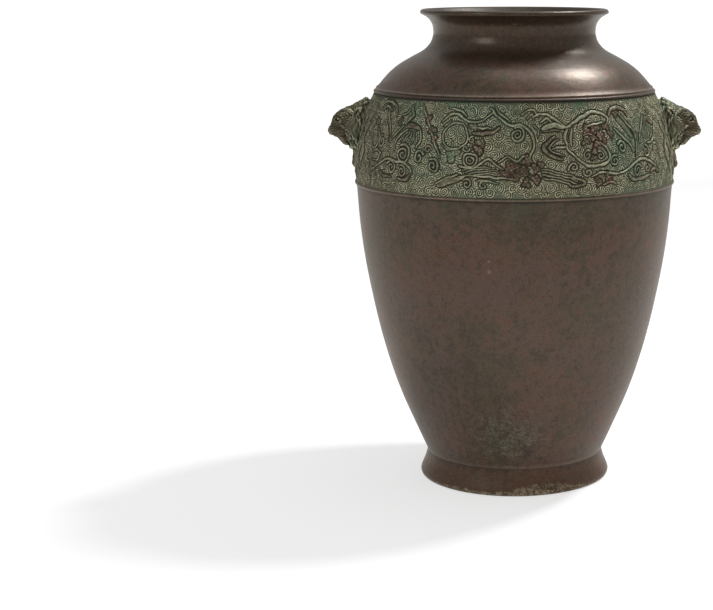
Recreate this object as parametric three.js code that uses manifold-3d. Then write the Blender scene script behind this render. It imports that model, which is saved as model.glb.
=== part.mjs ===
import * as THREE from 'three';
import Module from 'manifold-3d';

// Bronze vase in millimetres, +Z up, origin at the centre of the foot's underside.
// The shoulder frieze carries scrolls, discs and beasts in relief, and a lion head
// looks out along +X and along -X. Everything follows the sizes named here.

const HEIGHT = 270;
const BELLY_R = 90.4;
const FRIEZE_TOP_R = 79.8;
const NECK_R = 46;
const MOUTH_R = 53.2;
const WAIST_R = 51.15;
const FOOT_R = 55.3;
const WALL = 3;
const BEAD_PROUD = 1.4;
const RELIEF_PROUD = 1.4;
const HEAD_REACH = 20;
const HEAD_HEIGHT = 30;
const HEAD_WIDTH = 29;
const HEAD_GAP = 0.3;

// Levels up the axis.
const WAIST_Z = HEIGHT / 18;
const BELLY_Z = HEIGHT * 0.632;
const FRIEZE_BOTTOM_Z = HEIGHT * 0.6563;
const FRIEZE_TOP_Z = HEIGHT * 0.8293;
const SHOULDER_Z = HEIGHT * 0.8478;
const NECK_Z = HEIGHT * 0.9556;
const HEAD_Z = HEIGHT * 0.7593;
const BASE_Z = WAIST_Z * 0.95;
const FLOOR_Z = BASE_Z + WALL * 1.25;

// Radii that follow from the sizes above.
const FOOT_CONTACT_OUT = FOOT_R - WALL * 0.55;
const FOOT_CONTACT_IN = FOOT_R - WALL * 1.5;
const FRIEZE_BOTTOM_R = BELLY_R + BEAD_PROUD * 0.36;
const SHOULDER_R = FRIEZE_TOP_R - BEAD_PROUD * 2.3;
const FRIEZE_BEND = 2;
const FRIEZE_HEIGHT = FRIEZE_TOP_Z - FRIEZE_BOTTOM_Z;

const SEGMENTS = 40;
const HEAD_RING = 10;
const BRONZE = 0x3b3029;

const wasm = await Module();
wasm.setup();

const point = (r, z) => new THREE.Vector2(r, z);

// Stations given as shares of the way between two points, in radius and in height.
const between = (from, to, shares) => shares.map(([sr, sz]) => point(
  from.x + (to.x - from.x) * sr,
  from.y + (to.y - from.y) * sz,
));

const smooth = (stations, count) => new THREE.SplineCurve(stations).getPoints(count);

// Radius of the frieze's ground at a height.
const friezeRadius = (z) => {
  const t = (z - FRIEZE_BOTTOM_Z) / FRIEZE_HEIGHT;
  return FRIEZE_BOTTOM_R - (FRIEZE_BOTTOM_R - FRIEZE_TOP_R) * Math.max(t, 0) ** FRIEZE_BEND;
};
const RELIEF_R = friezeRadius(FRIEZE_BOTTOM_Z + FRIEZE_HEIGHT / 2);
const HEAD_X = friezeRadius(HEAD_Z);

const friezeLine = (count) => Array.from({ length: count + 1 }, (_, i) => {
  const z = FRIEZE_BOTTOM_Z + FRIEZE_HEIGHT * (i / count);
  return point(friezeRadius(z), z);
});

// The foot flares down from the waist and rounds under to its contact ring.
const footOutside = () => [
  point(FOOT_CONTACT_OUT, 0),
  point(FOOT_R - WALL * 0.1, WAIST_Z * 0.06),
  ...between(point(FOOT_R, 0), point(WAIST_R, WAIST_Z), [[0, 0.175], [0.265, 0.347], [0.7, 0.667]]),
];

const footInside = () => [
  point(0, BASE_Z),
  point(WAIST_R - WALL * 1.7, BASE_Z),
  point(WAIST_R - WALL * 0.85, BASE_Z * 0.77),
  point(FOOT_CONTACT_IN, 0),
];

const bellyStations = () => between(point(WAIST_R, WAIST_Z), point(BELLY_R, BELLY_Z), [
  [0, 0],
  [0.169, 0.096],
  [0.386, 0.225],
  [0.559, 0.353],
  [0.697, 0.482],
  [0.806, 0.61],
  [0.898, 0.739],
  [0.962, 0.868],
  [1, 1],
]);

// A half-round bead sits over a thin groove at the top of the belly.
const lowerBead = () => {
  const tall = FRIEZE_BOTTOM_Z - BELLY_Z;
  const at = (proud, level) => point(BELLY_R + BEAD_PROUD * proud, BELLY_Z + tall * level);
  return [at(-0.29, 0.1), at(0.57, 0.24), at(1, 0.56), at(0.57, 0.88)];
};

// A thin fillet above a fuller bead closes the frieze at the top.
const upperBead = () => {
  const tall = SHOULDER_Z - FRIEZE_TOP_Z;
  const at = (proud, level) => point(FRIEZE_TOP_R + BEAD_PROUD * proud, FRIEZE_TOP_Z + tall * level);
  return [at(0.43, 0.22), at(-0.21, 0.52), at(-1.14, 0.66), at(-1.36, 0.84)];
};

const shoulderStations = () => between(point(NECK_R, NECK_Z), point(SHOULDER_R, SHOULDER_Z), [
  [1, 1],
  [0.895, 0.894],
  [0.775, 0.756],
  [0.614, 0.619],
  [0.402, 0.481],
  [0.17, 0.344],
  [0.052, 0.206],
  [0.01, 0.089],
  [0, 0],
]);

const neckStations = () => between(point(NECK_R, NECK_Z), point(MOUTH_R, HEIGHT), [
  [0.111, 0.333],
  [0.333, 0.617],
]);

const lip = () => [
  ...between(point(NECK_R, NECK_Z), point(MOUTH_R, HEIGHT), [[0.861, 0.85], [1, 0.917], [0.917, 1]]),
  point(MOUTH_R - WALL * 0.67, HEIGHT - WALL * 0.07),
];

// The inside runs one wall's thickness in from the outside, from the mouth down.
const inside = () => {
  const line = new THREE.SplineCurve([
    ...bellyStations().slice(1),
    ...friezeLine(3),
    ...shoulderStations(),
    ...neckStations(),
  ]);
  const count = 9;
  return Array.from({ length: count + 1 }, (_, i) => {
    const t = 1 - i / count;
    const tangent = line.getTangent(t);
    const spot = line.getPoint(t);
    return point(spot.x - tangent.y * WALL, spot.y + tangent.x * WALL);
  });
};

const bodyProfile = () => [
  ...footInside(),
  ...footOutside(),
  ...smooth(bellyStations(), 8),
  ...lowerBead(),
  ...friezeLine(4),
  ...upperBead(),
  ...smooth([...shoulderStations(), ...neckStations()], 8),
  ...lip(),
  ...inside(),
  point(WAIST_R - WALL * 1.05, FLOOR_Z + WALL),
  point(WAIST_R - WALL * 3, FLOOR_Z),
  point(0, FLOOR_Z),
];

// Solid of the band alone, grown outwards: it trims the backs of the heads.
const headTrimProfile = () => {
  const line = [...lowerBead(), ...friezeLine(4), ...upperBead(), point(SHOULDER_R, SHOULDER_Z)];
  return [
    point(0, line[0].y),
    ...line.map((p) => point(p.x + HEAD_GAP, p.y)),
    point(0, SHOULDER_Z),
  ];
};

const turned = (profile) => {
  const geometry = new THREE.LatheGeometry(profile, SEGMENTS);
  geometry.rotateX(Math.PI / 2);
  return geometry;
};

const toManifold = (geometry) => {
  const position = geometry.getAttribute('position');
  const index = geometry.index ? Array.from(geometry.index.array) : [...Array(position.count).keys()];
  const seen = new Map();
  const vertices = [];
  const remap = [];
  for (let i = 0; i < position.count; i += 1) {
    const p = [position.getX(i), position.getY(i), position.getZ(i)];
    const key = p.map((v) => Math.round(v * 1e4)).join(',');
    if (!seen.has(key)) {
      seen.set(key, vertices.length / 3);
      vertices.push(...p);
    }
    remap.push(seen.get(key));
  }
  const triangles = [];
  for (let i = 0; i < index.length; i += 3) {
    const [a, b, c] = [remap[index[i]], remap[index[i + 1]], remap[index[i + 2]]];
    if (a !== b && b !== c && c !== a) {
      triangles.push(a, b, c);
    }
  }
  const solid = new wasm.Manifold(new wasm.Mesh({
    numProp: 3,
    vertProperties: new Float32Array(vertices),
    triVerts: new Uint32Array(triangles),
  }));
  return solid;
};

const toMesh = (solid, name) => {
  const data = solid.getMesh();
  const geometry = new THREE.BufferGeometry();
  geometry.setAttribute('position', new THREE.BufferAttribute(data.vertProperties, 3));
  geometry.setIndex(new THREE.BufferAttribute(data.triVerts, 1));
  geometry.computeVertexNormals();
  const material = new THREE.MeshStandardMaterial({ color: BRONZE, roughness: 0.45, metalness: 1 });
  const mesh = new THREE.Mesh(geometry, material);
  mesh.name = name;
  return mesh;
};

// Closed skin over rings of equal length, each ring running the same way round.
const skin = (rings) => {
  const n = rings[0].length;
  const vertices = rings.flat(2);
  const faces = [];
  for (let i = 0; i + 1 < rings.length; i += 1) {
    for (let j = 0; j < n; j += 1) {
      const a = i * n + j;
      const b = i * n + ((j + 1) % n);
      faces.push(a, b, b + n, a, b + n, a + n);
    }
  }
  const last = (rings.length - 1) * n;
  for (let j = 1; j + 1 < n; j += 1) {
    faces.push(0, j + 1, j, last, last + j, last + j + 1);
  }
  const geometry = new THREE.BufferGeometry();
  geometry.setAttribute('position', new THREE.BufferAttribute(new Float32Array(vertices), 3));
  geometry.setIndex(faces);
  return geometry;
};

const facingOut = (geometry) => {
  const solid = toManifold(geometry);
  if (solid.volume() >= 0) {
    return solid;
  }
  const flipped = geometry.clone();
  const order = Array.from(geometry.index.array);
  for (let i = 0; i < order.length; i += 3) {
    [order[i + 1], order[i + 2]] = [order[i + 2], order[i + 1]];
  }
  flipped.setIndex(order);
  return toManifold(flipped);
};

// A spot on the frieze: arc length from the front centre line, height, and distance proud.
const onFrieze = (u, z, proud) => {
  const angle = u / RELIEF_R;
  const r = friezeRadius(z) + proud;
  return [r * Math.sin(angle), -r * Math.cos(angle), z];
};

// Spots are given as degrees round from the front and hundredths of the frieze's height.
const arc = (degrees) => THREE.MathUtils.degToRad(degrees) * RELIEF_R;
const span = (hundredths) => (FRIEZE_HEIGHT * hundredths) / 100;
const level = (hundredths) => FRIEZE_BOTTOM_Z + span(hundredths);

// A raised ribbon with sloped sides and a ridge along a path of [u, z] spots.
const ribbon = (path, widthAt, proud) => {
  const rings = path.map(([u, z], i) => {
    const [u0, z0] = path[Math.max(i - 1, 0)];
    const [u1, z1] = path[Math.min(i + 1, path.length - 1)];
    const length = Math.hypot(u1 - u0, z1 - z0);
    const side = [-(z1 - z0) / length, (u1 - u0) / length];
    const half = widthAt(i / (path.length - 1)) / 2;
    const at = (share, height) => onFrieze(u + side[0] * half * share, z + side[1] * half * share, height);
    return [at(1, -0.55 * RELIEF_PROUD), at(-1, -0.55 * RELIEF_PROUD), at(0, proud * RELIEF_PROUD)];
  });
  return facingOut(skin(rings));
};

// A scroll winds inwards from its outer radius; start is the angle of its outer end.
const scroll = (degrees, up, size, turns, start, hand, width = 5, proud = 1) => {
  const radius = span(size);
  const steps = Math.round(size * turns * 0.58);
  const path = Array.from({ length: steps + 1 }, (_, i) => {
    const t = i / steps;
    const r = radius * (1 - 0.72 * t ** 1.4);
    const a = THREE.MathUtils.degToRad(start) + hand * turns * 2 * Math.PI * t;
    return [arc(degrees) + r * Math.cos(a), level(up) + r * Math.sin(a)];
  });
  return ribbon(path, (t) => span(width) * (1 - 0.35 * t), proud);
};

// A leaf or stalk between two spots, with a sideways bow.
const leaf = (from, to, width, bow = 0, proud = 1.1) => {
  const steps = 3;
  const [u0, z0] = [arc(from[0]), level(from[1])];
  const [u1, z1] = [arc(to[0]), level(to[1])];
  const length = Math.hypot(u1 - u0, z1 - z0);
  const path = Array.from({ length: steps + 1 }, (_, i) => {
    const t = i / steps;
    const off = span(bow) * Math.sin(Math.PI * t);
    return [u0 + (u1 - u0) * t - ((z1 - z0) / length) * off, z0 + (z1 - z0) * t + ((u1 - u0) / length) * off];
  });
  return ribbon(path, (t) => span(width) * Math.sin(Math.PI * (0.12 + 0.76 * t)), proud);
};

// A low round boss.
const disc = (degrees, up, size, proud = 1) => {
  const count = 7;
  const ring = (radius, height) => Array.from({ length: count }, (_, i) => {
    const a = (i / count) * 2 * Math.PI;
    return onFrieze(arc(degrees) + radius * Math.cos(a), level(up) + radius * Math.sin(a), height);
  });
  const radius = span(size);
  return facingOut(skin([ring(radius, -0.7 * RELIEF_PROUD), ring(radius * 0.7, proud * RELIEF_PROUD)]));
};

// Half of the frieze's relief, centred on the front.
const friezeRelief = () => [
  // Fern scroll on the centre line, its stem coming down from the left.
  scroll(1.5, 63, 14, 1.15, 350, 1),
  leaf([-9, 92], [-2, 76], 4.6, -1.3, 0.9),
  leaf([5.8, 60], [4.6, 40], 4.2, -1.3, 0.9),
  // Two cloud scrolls that meet back to back.
  scroll(27, 50, 19, 0.85, 150, 1),
  scroll(28, 72, 16, 0.7, 200, -1),
  leaf([30, 72], [33, 55], 9, 3, 1.4),
  // Beast with a round body, an eye boss, a snout and an open jaw.
  disc(-21.5, 62, 14, 1.2),
  disc(-15.2, 37, 8, 1.5),
  disc(-21.8, 41, 7, 1.3),
  leaf([-24, 9], [-13, 20], 9.5, 1.7),
  leaf([-15, 27], [-5.5, 24], 10, 1.7),
  leaf([-13, 63], [-6.5, 69], 6, -2.1),
  // Leaves and a wing between the beast and the clouds.
  leaf([11.5, 74], [17.5, 75], 5.6, 1),
  leaf([10.6, 47.5], [16.4, 61], 6, 2.6),
  leaf([10.6, 48], [16.6, 38.5], 6, -1.7),
  leaf([9.6, 26.5], [21, 14.5], 9, 1.3),
  // Scroll cluster to the left.
  scroll(-42.5, 39.5, 13.3, 1.1, 200, 1, 5.6, 1.15),
  scroll(-48, 20, 9.8, 0.9, 150, -1),
  disc(-35, 38, 7),
  disc(-29.4, 28, 8),
  leaf([-47.6, 47], [-55, 92], 5.6, 2.6),
  leaf([-42.5, 62], [-36, 76], 9.4, 1.3, 1.3),
  // Scroll cluster to the right.
  scroll(46.4, 18, 11.6, 1.1, 20, 1, 5.6, 1.15),
  disc(41, 45, 6),
  disc(52.5, 37, 7),
  disc(36.6, 29, 6.5),
  leaf([45.5, 32], [41.5, 72], 4.8, -3),
  leaf([54, 55], [52.6, 85], 10, 1.7),
];

const turnedHalf = (solid, degrees) => solid.rotate([0, 0, degrees]);

// A place on a head: shares of its reach from the wall, of its width and of its height.
const headX = (share) => HEAD_X + HEAD_REACH * share;
const headY = (share) => (HEAD_WIDTH / 2) * share;
const headZ = (share) => HEAD_Z + HEAD_HEIGHT * share;

// A lock of mane hangs on the wall below each head.
const maneLock = () => {
  const levels = [
    [-0.813, 0.25, 0.2],
    [-0.74, 0.39, 0.325],
    [-0.557, 0.45, 0.325],
    [-0.49, 0.41, 0.305],
  ];
  const rings = levels.map(([up, half, face]) => {
    const [x, y, z] = [headX(face), headY(half), headZ(up)];
    const [back, bevel] = [HEAD_X - WALL / 2, x - HEAD_REACH * 0.1];
    return [
      [back, -y, z],
      [bevel, -y, z],
      [x, -y * 0.6, z],
      [x, y * 0.6, z],
      [bevel, y, z],
      [back, y, z],
    ];
  });
  return facingOut(skin(rings));
};

// Head masses, station by station outwards: reach, top, bottom, half width.
const SKULL = [
  [-0.345, 0.56, -0.367, 1],
  [0.085, 0.477, -0.213, 0.924],
  [0.325, 0.38, -0.067, 0.786],
  [0.405, 0.333, -0.013, 0.662],
  [0.555, 0.327, 0.007, 0.634],
  [0.705, 0.273, 0.007, 0.607],
  [0.84, 0.2, 0.007, 0.51],
  [0.95, 0.113, 0.01, 0.29],
];

const JAW = [
  [-0.245, -0.02, -0.4, 0.76],
  [0.23, -0.02, -0.373, 0.717],
  [0.505, -0.017, -0.28, 0.634],
  [0.755, -0.013, -0.207, 0.552],
  [0.935, -0.013, -0.17, 0.386],
  [1.005, -0.033, -0.127, 0.22],
];

const BEARD = [
  [-0.245, -0.3, -0.477, 0.483],
  [0.34, -0.32, -0.45, 0.441],
  [0.505, -0.253, -0.397, 0.4],
  [0.705, -0.187, -0.297, 0.303],
  [0.82, -0.167, -0.227, 0.166],
];

const mass = (stations) => {
  const rings = stations.map(([reach, top, bottom, half]) => Array.from({ length: HEAD_RING }, (_, i) => {
    const a = ((i + 0.5) / HEAD_RING) * 2 * Math.PI;
    const squash = (v) => Math.sign(v) * Math.abs(v) ** 0.7;
    const z = headZ((top + bottom) / 2) + HEAD_HEIGHT * ((top - bottom) / 2) * squash(Math.sin(a));
    return [headX(reach), headY(half) * squash(Math.cos(a)), z];
  }));
  return facingOut(skin(rings));
};

// An egg-shaped feature; its half sizes are shares of the head's reach, width and height.
const lump = (reach, aside, up, [long, wide, tall], tilt = 0) => {
  const geometry = new THREE.SphereGeometry(1, 7, 4);
  geometry.rotateX(Math.PI / 2);
  geometry.scale(HEAD_REACH * long, HEAD_WIDTH * wide, HEAD_HEIGHT * tall);
  geometry.rotateY(THREE.MathUtils.degToRad(tilt));
  geometry.translate(headX(reach), headY(aside), headZ(up));
  return facingOut(geometry);
};

// Eye, brow, ear and cheek curl, for one side of the face.
const faceSide = (s) => [
  lump(0.455, 0.54 * s, 0.233, [0.115, 0.08, 0.077]),
  lump(0.365, 0.55 * s, 0.34, [0.19, 0.11, 0.06], 12),
  lump(0.075, 0.87 * s, 0.387, [0.15, 0.09, 0.147], -30),
  lump(0.155, 0.83 * s, -0.067, [0.15, 0.097, 0.2]),
];

const lionHead = () => {
  const parts = [mass(SKULL), mass(JAW), mass(BEARD), ...faceSide(1), ...faceSide(-1)];
  const trim = facingOut(turned(headTrimProfile()));
  return wasm.Manifold.union(parts).subtract(trim);
};

const vaseBody = () => {
  const relief = friezeRelief();
  const parts = [
    facingOut(turned(bodyProfile())),
    ...relief,
    ...relief.map((solid) => turnedHalf(solid, 180)),
    maneLock(),
    turnedHalf(maneLock(), 180),
  ];
  return wasm.Manifold.union(parts);
};

const group = new THREE.Group();
group.name = 'bronze_vase';
const head = lionHead();
group.add(toMesh(vaseBody(), 'vase_body'));
group.add(toMesh(head, 'lion_head_right'));
group.add(toMesh(turnedHalf(head, 180), 'lion_head_left'));

export default group;
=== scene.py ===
"""Bronze vase with a relief frieze and two lion heads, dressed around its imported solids."""
import math

import bpy
import numpy as np
from bpy.props import FloatProperty, FloatVectorProperty, IntProperty, PointerProperty
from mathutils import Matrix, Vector


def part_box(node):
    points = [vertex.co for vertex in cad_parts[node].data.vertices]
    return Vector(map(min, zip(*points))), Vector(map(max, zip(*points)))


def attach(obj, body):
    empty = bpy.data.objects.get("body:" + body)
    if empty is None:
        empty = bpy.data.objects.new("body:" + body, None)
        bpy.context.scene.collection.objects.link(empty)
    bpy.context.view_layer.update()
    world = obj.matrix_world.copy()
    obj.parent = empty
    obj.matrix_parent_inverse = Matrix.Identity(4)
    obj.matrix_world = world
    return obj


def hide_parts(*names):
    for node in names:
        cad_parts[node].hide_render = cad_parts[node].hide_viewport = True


bl_info = {
    "name": "Bronze vase",
    "version": (1, 0, 0),
    "blender": (4, 5, 0),
    "location": "3D View > Sidebar > Vase",
    "description": "Builds a cast bronze vase with a relief frieze and lion heads",
    "category": "Add Mesh",
}

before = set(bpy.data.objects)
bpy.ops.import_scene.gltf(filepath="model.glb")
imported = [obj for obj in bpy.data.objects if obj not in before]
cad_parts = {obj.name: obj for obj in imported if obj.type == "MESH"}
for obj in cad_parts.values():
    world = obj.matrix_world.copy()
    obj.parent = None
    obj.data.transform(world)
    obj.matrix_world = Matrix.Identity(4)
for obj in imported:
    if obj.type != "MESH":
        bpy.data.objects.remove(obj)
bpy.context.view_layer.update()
BODY_LOW, BODY_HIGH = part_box("vase_body")

TURN = 2 * math.pi

# The vase is drawn in millimetres at this height, and scales with it.
DRAWN_HEIGHT = 270.0

# The frieze's wall between the mouldings, and how deep the shell lies under its panels.
FRIEZE_BOTTOM, FRIEZE_TOP = 177.2, 223.9
FRIEZE_LOW_R, FRIEZE_HIGH_R = 90.9, 79.8
PANEL_LOW, PANEL_HIGH = 174.2, 224.7
SINK = 1.1
PANEL_DEPTH = SINK + 0.5

# The relief is drawn flat, on a grid over half a turn at this radius.
ARC_R = 88.0
HALF_ARC = math.pi * ARC_R
DEGREE = math.radians(ARC_R)
COLUMNS, ROWS = 1024, 172
ROW_Z = np.linspace(PANEL_LOW, PANEL_HIGH, ROWS + 1)
BACK_COLUMNS, BACK_ROWS = 32, 43
QUARTER = COLUMNS // 2

# How the relief stands out and how close the lines of its ground spirals lie.
GROUND_RISE = 0.31
MOAT_DEPTH = 0.3
SPIRAL_PITCH = 1.06

# Where the ground spirals may lie, and how many places are tried for each size of them.
GROUND_LOW, GROUND_HIGH = 174.9, 224.2
TRIES = 2600

# Further away than any stroke or carved form reaches.
FAR_OFF = 99.0
FAR_FROM_METAL = 9.0

# The block that a head is carved from, and how far its back lies inside the frieze's wall.
HEAD_LOW, HEAD_HIGH = (80.0, -17.5, 187.0), (109.5, 17.6, 224.5)
HEAD_SINK = 0.9

# The colour sockets of a Mix node.
MIX_SHARE, MIX_BELOW, MIX_ABOVE, MIX_RESULT = 0, 6, 7, 2

# Spots on the vase, in metres: the green patch of patina, two chips, and the sides by the heads, where
# shade is painted.
ABOVE_FOOT = (-0.003, -0.062, 0.036)
UPPER_CHIP, LOWER_CHIP = (-0.0135, -0.086, 0.1405), (-0.0133, -0.0855, 0.1347)
LEFT_SIDE, RIGHT_SIDE = (-0.088, 0, 0.2), (0.088, 0, 0.2)

# Stage, in metres
KEY_LAMP = (0.62, 0.33, 1.21)
KEY_TARGET = (0.0, 0.0, 0.13)
GLOW_TARGET = (0.0, 0.0, 0.23)
GLOW_COLOUR = (0.86, 0.96, 1.0)
FLOOR_REACH = 20
CAMERA_PLACE = (0, -1.0, 0.2973)
CAMERA_PITCH = 0.195
CAMERA_LENS = 88.06
CAMERA_SHIFT = -0.2215


def smoothstep(low, high, x):
    """0 at low, 1 at high and smooth in between."""
    t = np.clip((x - low) / (high - low), 0, 1)
    return t * t * (3 - 2 * t)


def through(stations, steps=8):
    """A smooth line through the stations, with so many steps between two of them."""
    p = np.asarray(stations, float)
    ends = np.vstack([2 * p[0] - p[1], p, 2 * p[-1] - p[-2]])
    line = []
    for i in range(len(p) - 1):
        a, b, c, d = ends[i:i + 4]
        for t in np.arange(steps) / steps:
            line.append(0.5 * (2 * b + (c - a) * t + (2 * a - 5 * b + 4 * c - d) * t ** 2
                               + (3 * b - a - 3 * c + d) * t ** 3))
    return np.array(line + [p[-1]])


def band(z, height, width):
    """A soft band round a height."""
    return np.exp(-((z - height) / width) ** 2)


def quads(index):
    """Four-cornered faces over a grid of point numbers."""
    corners = index[:-1, :-1], index[:-1, 1:], index[1:, 1:], index[1:, :-1]
    return np.column_stack([c.ravel() for c in corners])


def frieze_radius(z):
    """Radius of the sunk wall that the relief stands on."""
    t = np.clip((z - FRIEZE_BOTTOM) / (FRIEZE_TOP - FRIEZE_BOTTOM), 0, None)
    return FRIEZE_LOW_R - (FRIEZE_LOW_R - FRIEZE_HIGH_R) * t ** 2


def scaled(points):
    """Drawn millimetres to metres at the vase's height."""
    return np.asarray(points, float) * (bpy.context.scene.vase_sizes.height / DRAWN_HEIGHT)


def new_piece(name, points, faces, finish, node, marks=None):
    """A smooth-shaded mesh piece that stands for a solid and moves with the vase."""
    mesh = bpy.data.meshes.new(name)
    mesh.from_pydata(scaled(points).tolist(), [], faces)
    mesh.polygons.foreach_set("use_smooth", [True] * len(mesh.polygons))
    for mark, values in (marks or {}).items():
        attribute = mesh.attributes.new(mark, "FLOAT", "POINT")
        attribute.data.foreach_set("value", np.asarray(values, np.float32))
    mesh.materials.append(finish)
    mesh.update()
    piece = bpy.data.objects.new(name, mesh)
    bpy.context.scene.collection.objects.link(piece)
    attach(piece, "root")
    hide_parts(node)
    return piece


# Finishes

class Amount:
    """A number in a shader. Arithmetic on it adds Math nodes."""

    def __init__(self, finish, socket):
        self.finish = finish
        self.socket = socket

    def maths(self, operation, *values):
        inputs = dict(enumerate(values))
        return self.finish.node("ShaderNodeMath", {"operation": operation}, inputs)

    def __add__(self, other):
        return self.maths("ADD", self, other)

    def __sub__(self, other):
        return self.maths("SUBTRACT", self, other)

    def __rsub__(self, other):
        return self.maths("SUBTRACT", other, self)

    def __mul__(self, other):
        return self.maths("MULTIPLY", self, other)

    __radd__ = __add__
    __rmul__ = __mul__

    def highest(self, other):
        return self.maths("MAXIMUM", self, other)

    def between(self, low, high):
        """0 below low, 1 above high and smooth in between."""
        inputs = {0: self, 1: low, 2: high, 3: 0.0, 4: 1.0}
        settings = {"interpolation_type": "SMOOTHSTEP", "clamp": True}
        return self.finish.node("ShaderNodeMapRange", settings, inputs)


class Finish:
    """A material under construction."""

    def __init__(self, name):
        self.material = bpy.data.materials.new(name)
        self.material.use_nodes = True
        self.tree = self.material.node_tree
        self.tree.nodes.clear()
        self.place = self.node("ShaderNodeTexCoord", out="Object")

    def node(self, kind, settings=None, inputs=None, out=0):
        """Adds a node with its settings and its sockets' values or links, and gives one output."""
        node = self.tree.nodes.new(kind)
        for key, value in (settings or {}).items():
            setattr(node, key, value)
        for key, value in (inputs or {}).items():
            if isinstance(value, Amount):
                self.tree.links.new(value.socket, node.inputs[key])
            else:
                node.inputs[key].default_value = value
        return None if out is None else Amount(self, node.outputs[out])

    def noise(self, scale, detail=4.0, roughness=0.55, distortion=0.0):
        inputs = {
            "Vector": self.place,
            "Scale": scale,
            "Detail": detail,
            "Roughness": roughness,
            "Distortion": distortion,
        }
        return self.node("ShaderNodeTexNoise", None, inputs)

    def mark(self, name):
        """A mark kept on the mesh's points."""
        return self.node("ShaderNodeAttribute", {"attribute_name": name}, out="Fac")

    def away(self, spot):
        """Distance from a spot on the surface, in metres."""
        inputs = {0: self.place, 1: spot}
        return self.node("ShaderNodeVectorMath", {"operation": "DISTANCE"}, inputs, out="Value")

    def mix(self, share, below, above):
        """The colour below, covered by the one above where the share is 1."""
        inputs = {MIX_SHARE: share, MIX_BELOW: colour(below), MIX_ABOVE: colour(above)}
        return self.node("ShaderNodeMix", {"data_type": "RGBA"}, inputs, out=MIX_RESULT)

    def bump(self, height, distance):
        inputs = {"Height": height, "Strength": 1.0, "Distance": distance}
        return self.node("ShaderNodeBump", None, inputs)

    def close(self, inputs):
        """The finished material, from the inputs of its shader."""
        shader = self.node("ShaderNodeBsdfPrincipled", None, inputs)
        self.node("ShaderNodeOutputMaterial", None, {"Surface": shader}, out=None)
        return self.material


def colour(value):
    """A socket as it is, or a plain colour with its alpha."""
    return value if isinstance(value, Amount) else (*value, 1.0)


def body_finish():
    """Dark brown bronze, mottled with red-brown, olive, purple-grey and verdigris, with painted shade in
    its grooves and hollows.
    """
    look = bpy.context.scene.vase_finish
    f = Finish("patina_body")
    broad = f.noise(15, 6, 0.62, 0.3)
    bloom = f.noise(31, 6, 0.66, 0.5)
    cloud = f.noise(70, 7, 0.68, 0.3)
    mottle = f.noise(150, 6, 0.7)
    speck = f.noise(310, 5, 0.68)
    grain = f.noise(1250, 4, 0.65)
    fine = cloud * 0.4 + speck * 0.6
    dapple = bloom * 0.5 + speck * 0.5
    tone = f.mix(fine.between(0.41, 0.58) * 0.85 + 0.1, look.bronze_dark, look.bronze)
    tone = f.mix((broad * 0.5 + mottle * 0.5).between(0.48, 0.56) * 0.65, tone, look.bronze_red)
    tone = f.mix(dapple.between(0.48, 0.57) * 0.6, tone, look.bronze_purple)
    tone = f.mix(dapple.between(0.5, 0.41) * 0.55, tone, look.bronze_olive)
    tone = f.mix(f.mark("haze") * (0.1 + cloud * 0.3), tone, look.bronze_pale)
    tone = f.mix(fine.between(0.55, 0.61) * 0.6, tone, look.bronze_red)
    tone = f.mix(f.mark("foot") * (0.3 + mottle * 0.7), tone, look.bronze_foot)
    tone = f.mix(f.mark("neck") * (0.35 + cloud * 0.5), tone, look.bronze_dark)
    tone = f.mix(grain.between(0.46, 0.68) * 0.36, tone, look.bronze_pale)
    tone = f.mix((speck * 0.45 + grain * 0.55).between(0.48, 0.4) * 0.5, tone, look.bronze_dark)

    bloomed = mottle * 0.55 + speck * 0.45 + f.mark("verdigris") * 0.12
    settled = f.mark("verdigris") * (mottle * 0.6 + cloud * 0.6).between(0.45, 0.72)
    above_foot = f.away(ABOVE_FOOT).between(0.042, 0.004)
    ragged = (above_foot * 0.17 + speck * 0.5 + mottle * 0.5).between(0.61, 0.72)
    green = (bloomed.between(0.575, 0.64) * 0.75).highest(settled).highest(ragged * 0.38)
    tone = f.mix(green, tone, look.verdigris)
    tone = f.mix(ragged * above_foot * grain.between(0.5, 0.62) * 0.5, tone, look.crust)

    crust = (f.mark("crust") + mottle * 0.9 + speck * 0.9).between(1.15, 1.5)
    crusted = f.mix(mottle.between(0.5, 0.56) * 0.7, look.crust, look.verdigris)
    tone = f.mix(crust * (speck * 0.6 + grain * 0.4).between(0.45, 0.58) * 0.8, tone, crusted)
    upper_chip = f.away(UPPER_CHIP).between(0.0013, 0.0005)
    lower_chip = f.away(LOWER_CHIP).between(0.0016, 0.0005) * 0.7
    tone = f.mix(upper_chip.highest(lower_chip) * 0.6, tone, look.worn)
    tone = f.mix(f.mark("worn") * (cloud + speck - 0.15), tone, look.worn)
    # Painted shade, near black, where the marks give grooves and hollows.
    tone = f.mix(f.mark("painted_shade"), tone, look.groove)
    rough = look.roughness + cloud * 0.14 + green * 0.2 - f.mark("polish") * 0.09
    return f.close({
        "Base Color": tone,
        "Roughness": rough,
        "Metallic": 0.4,
        "Specular IOR Level": 0.42,
        "Specular Tint": (0.95, 0.88, 0.8, 1),
        "Normal": f.bump(speck * 0.6 + grain * 0.4, 0.00016),
    })


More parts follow.
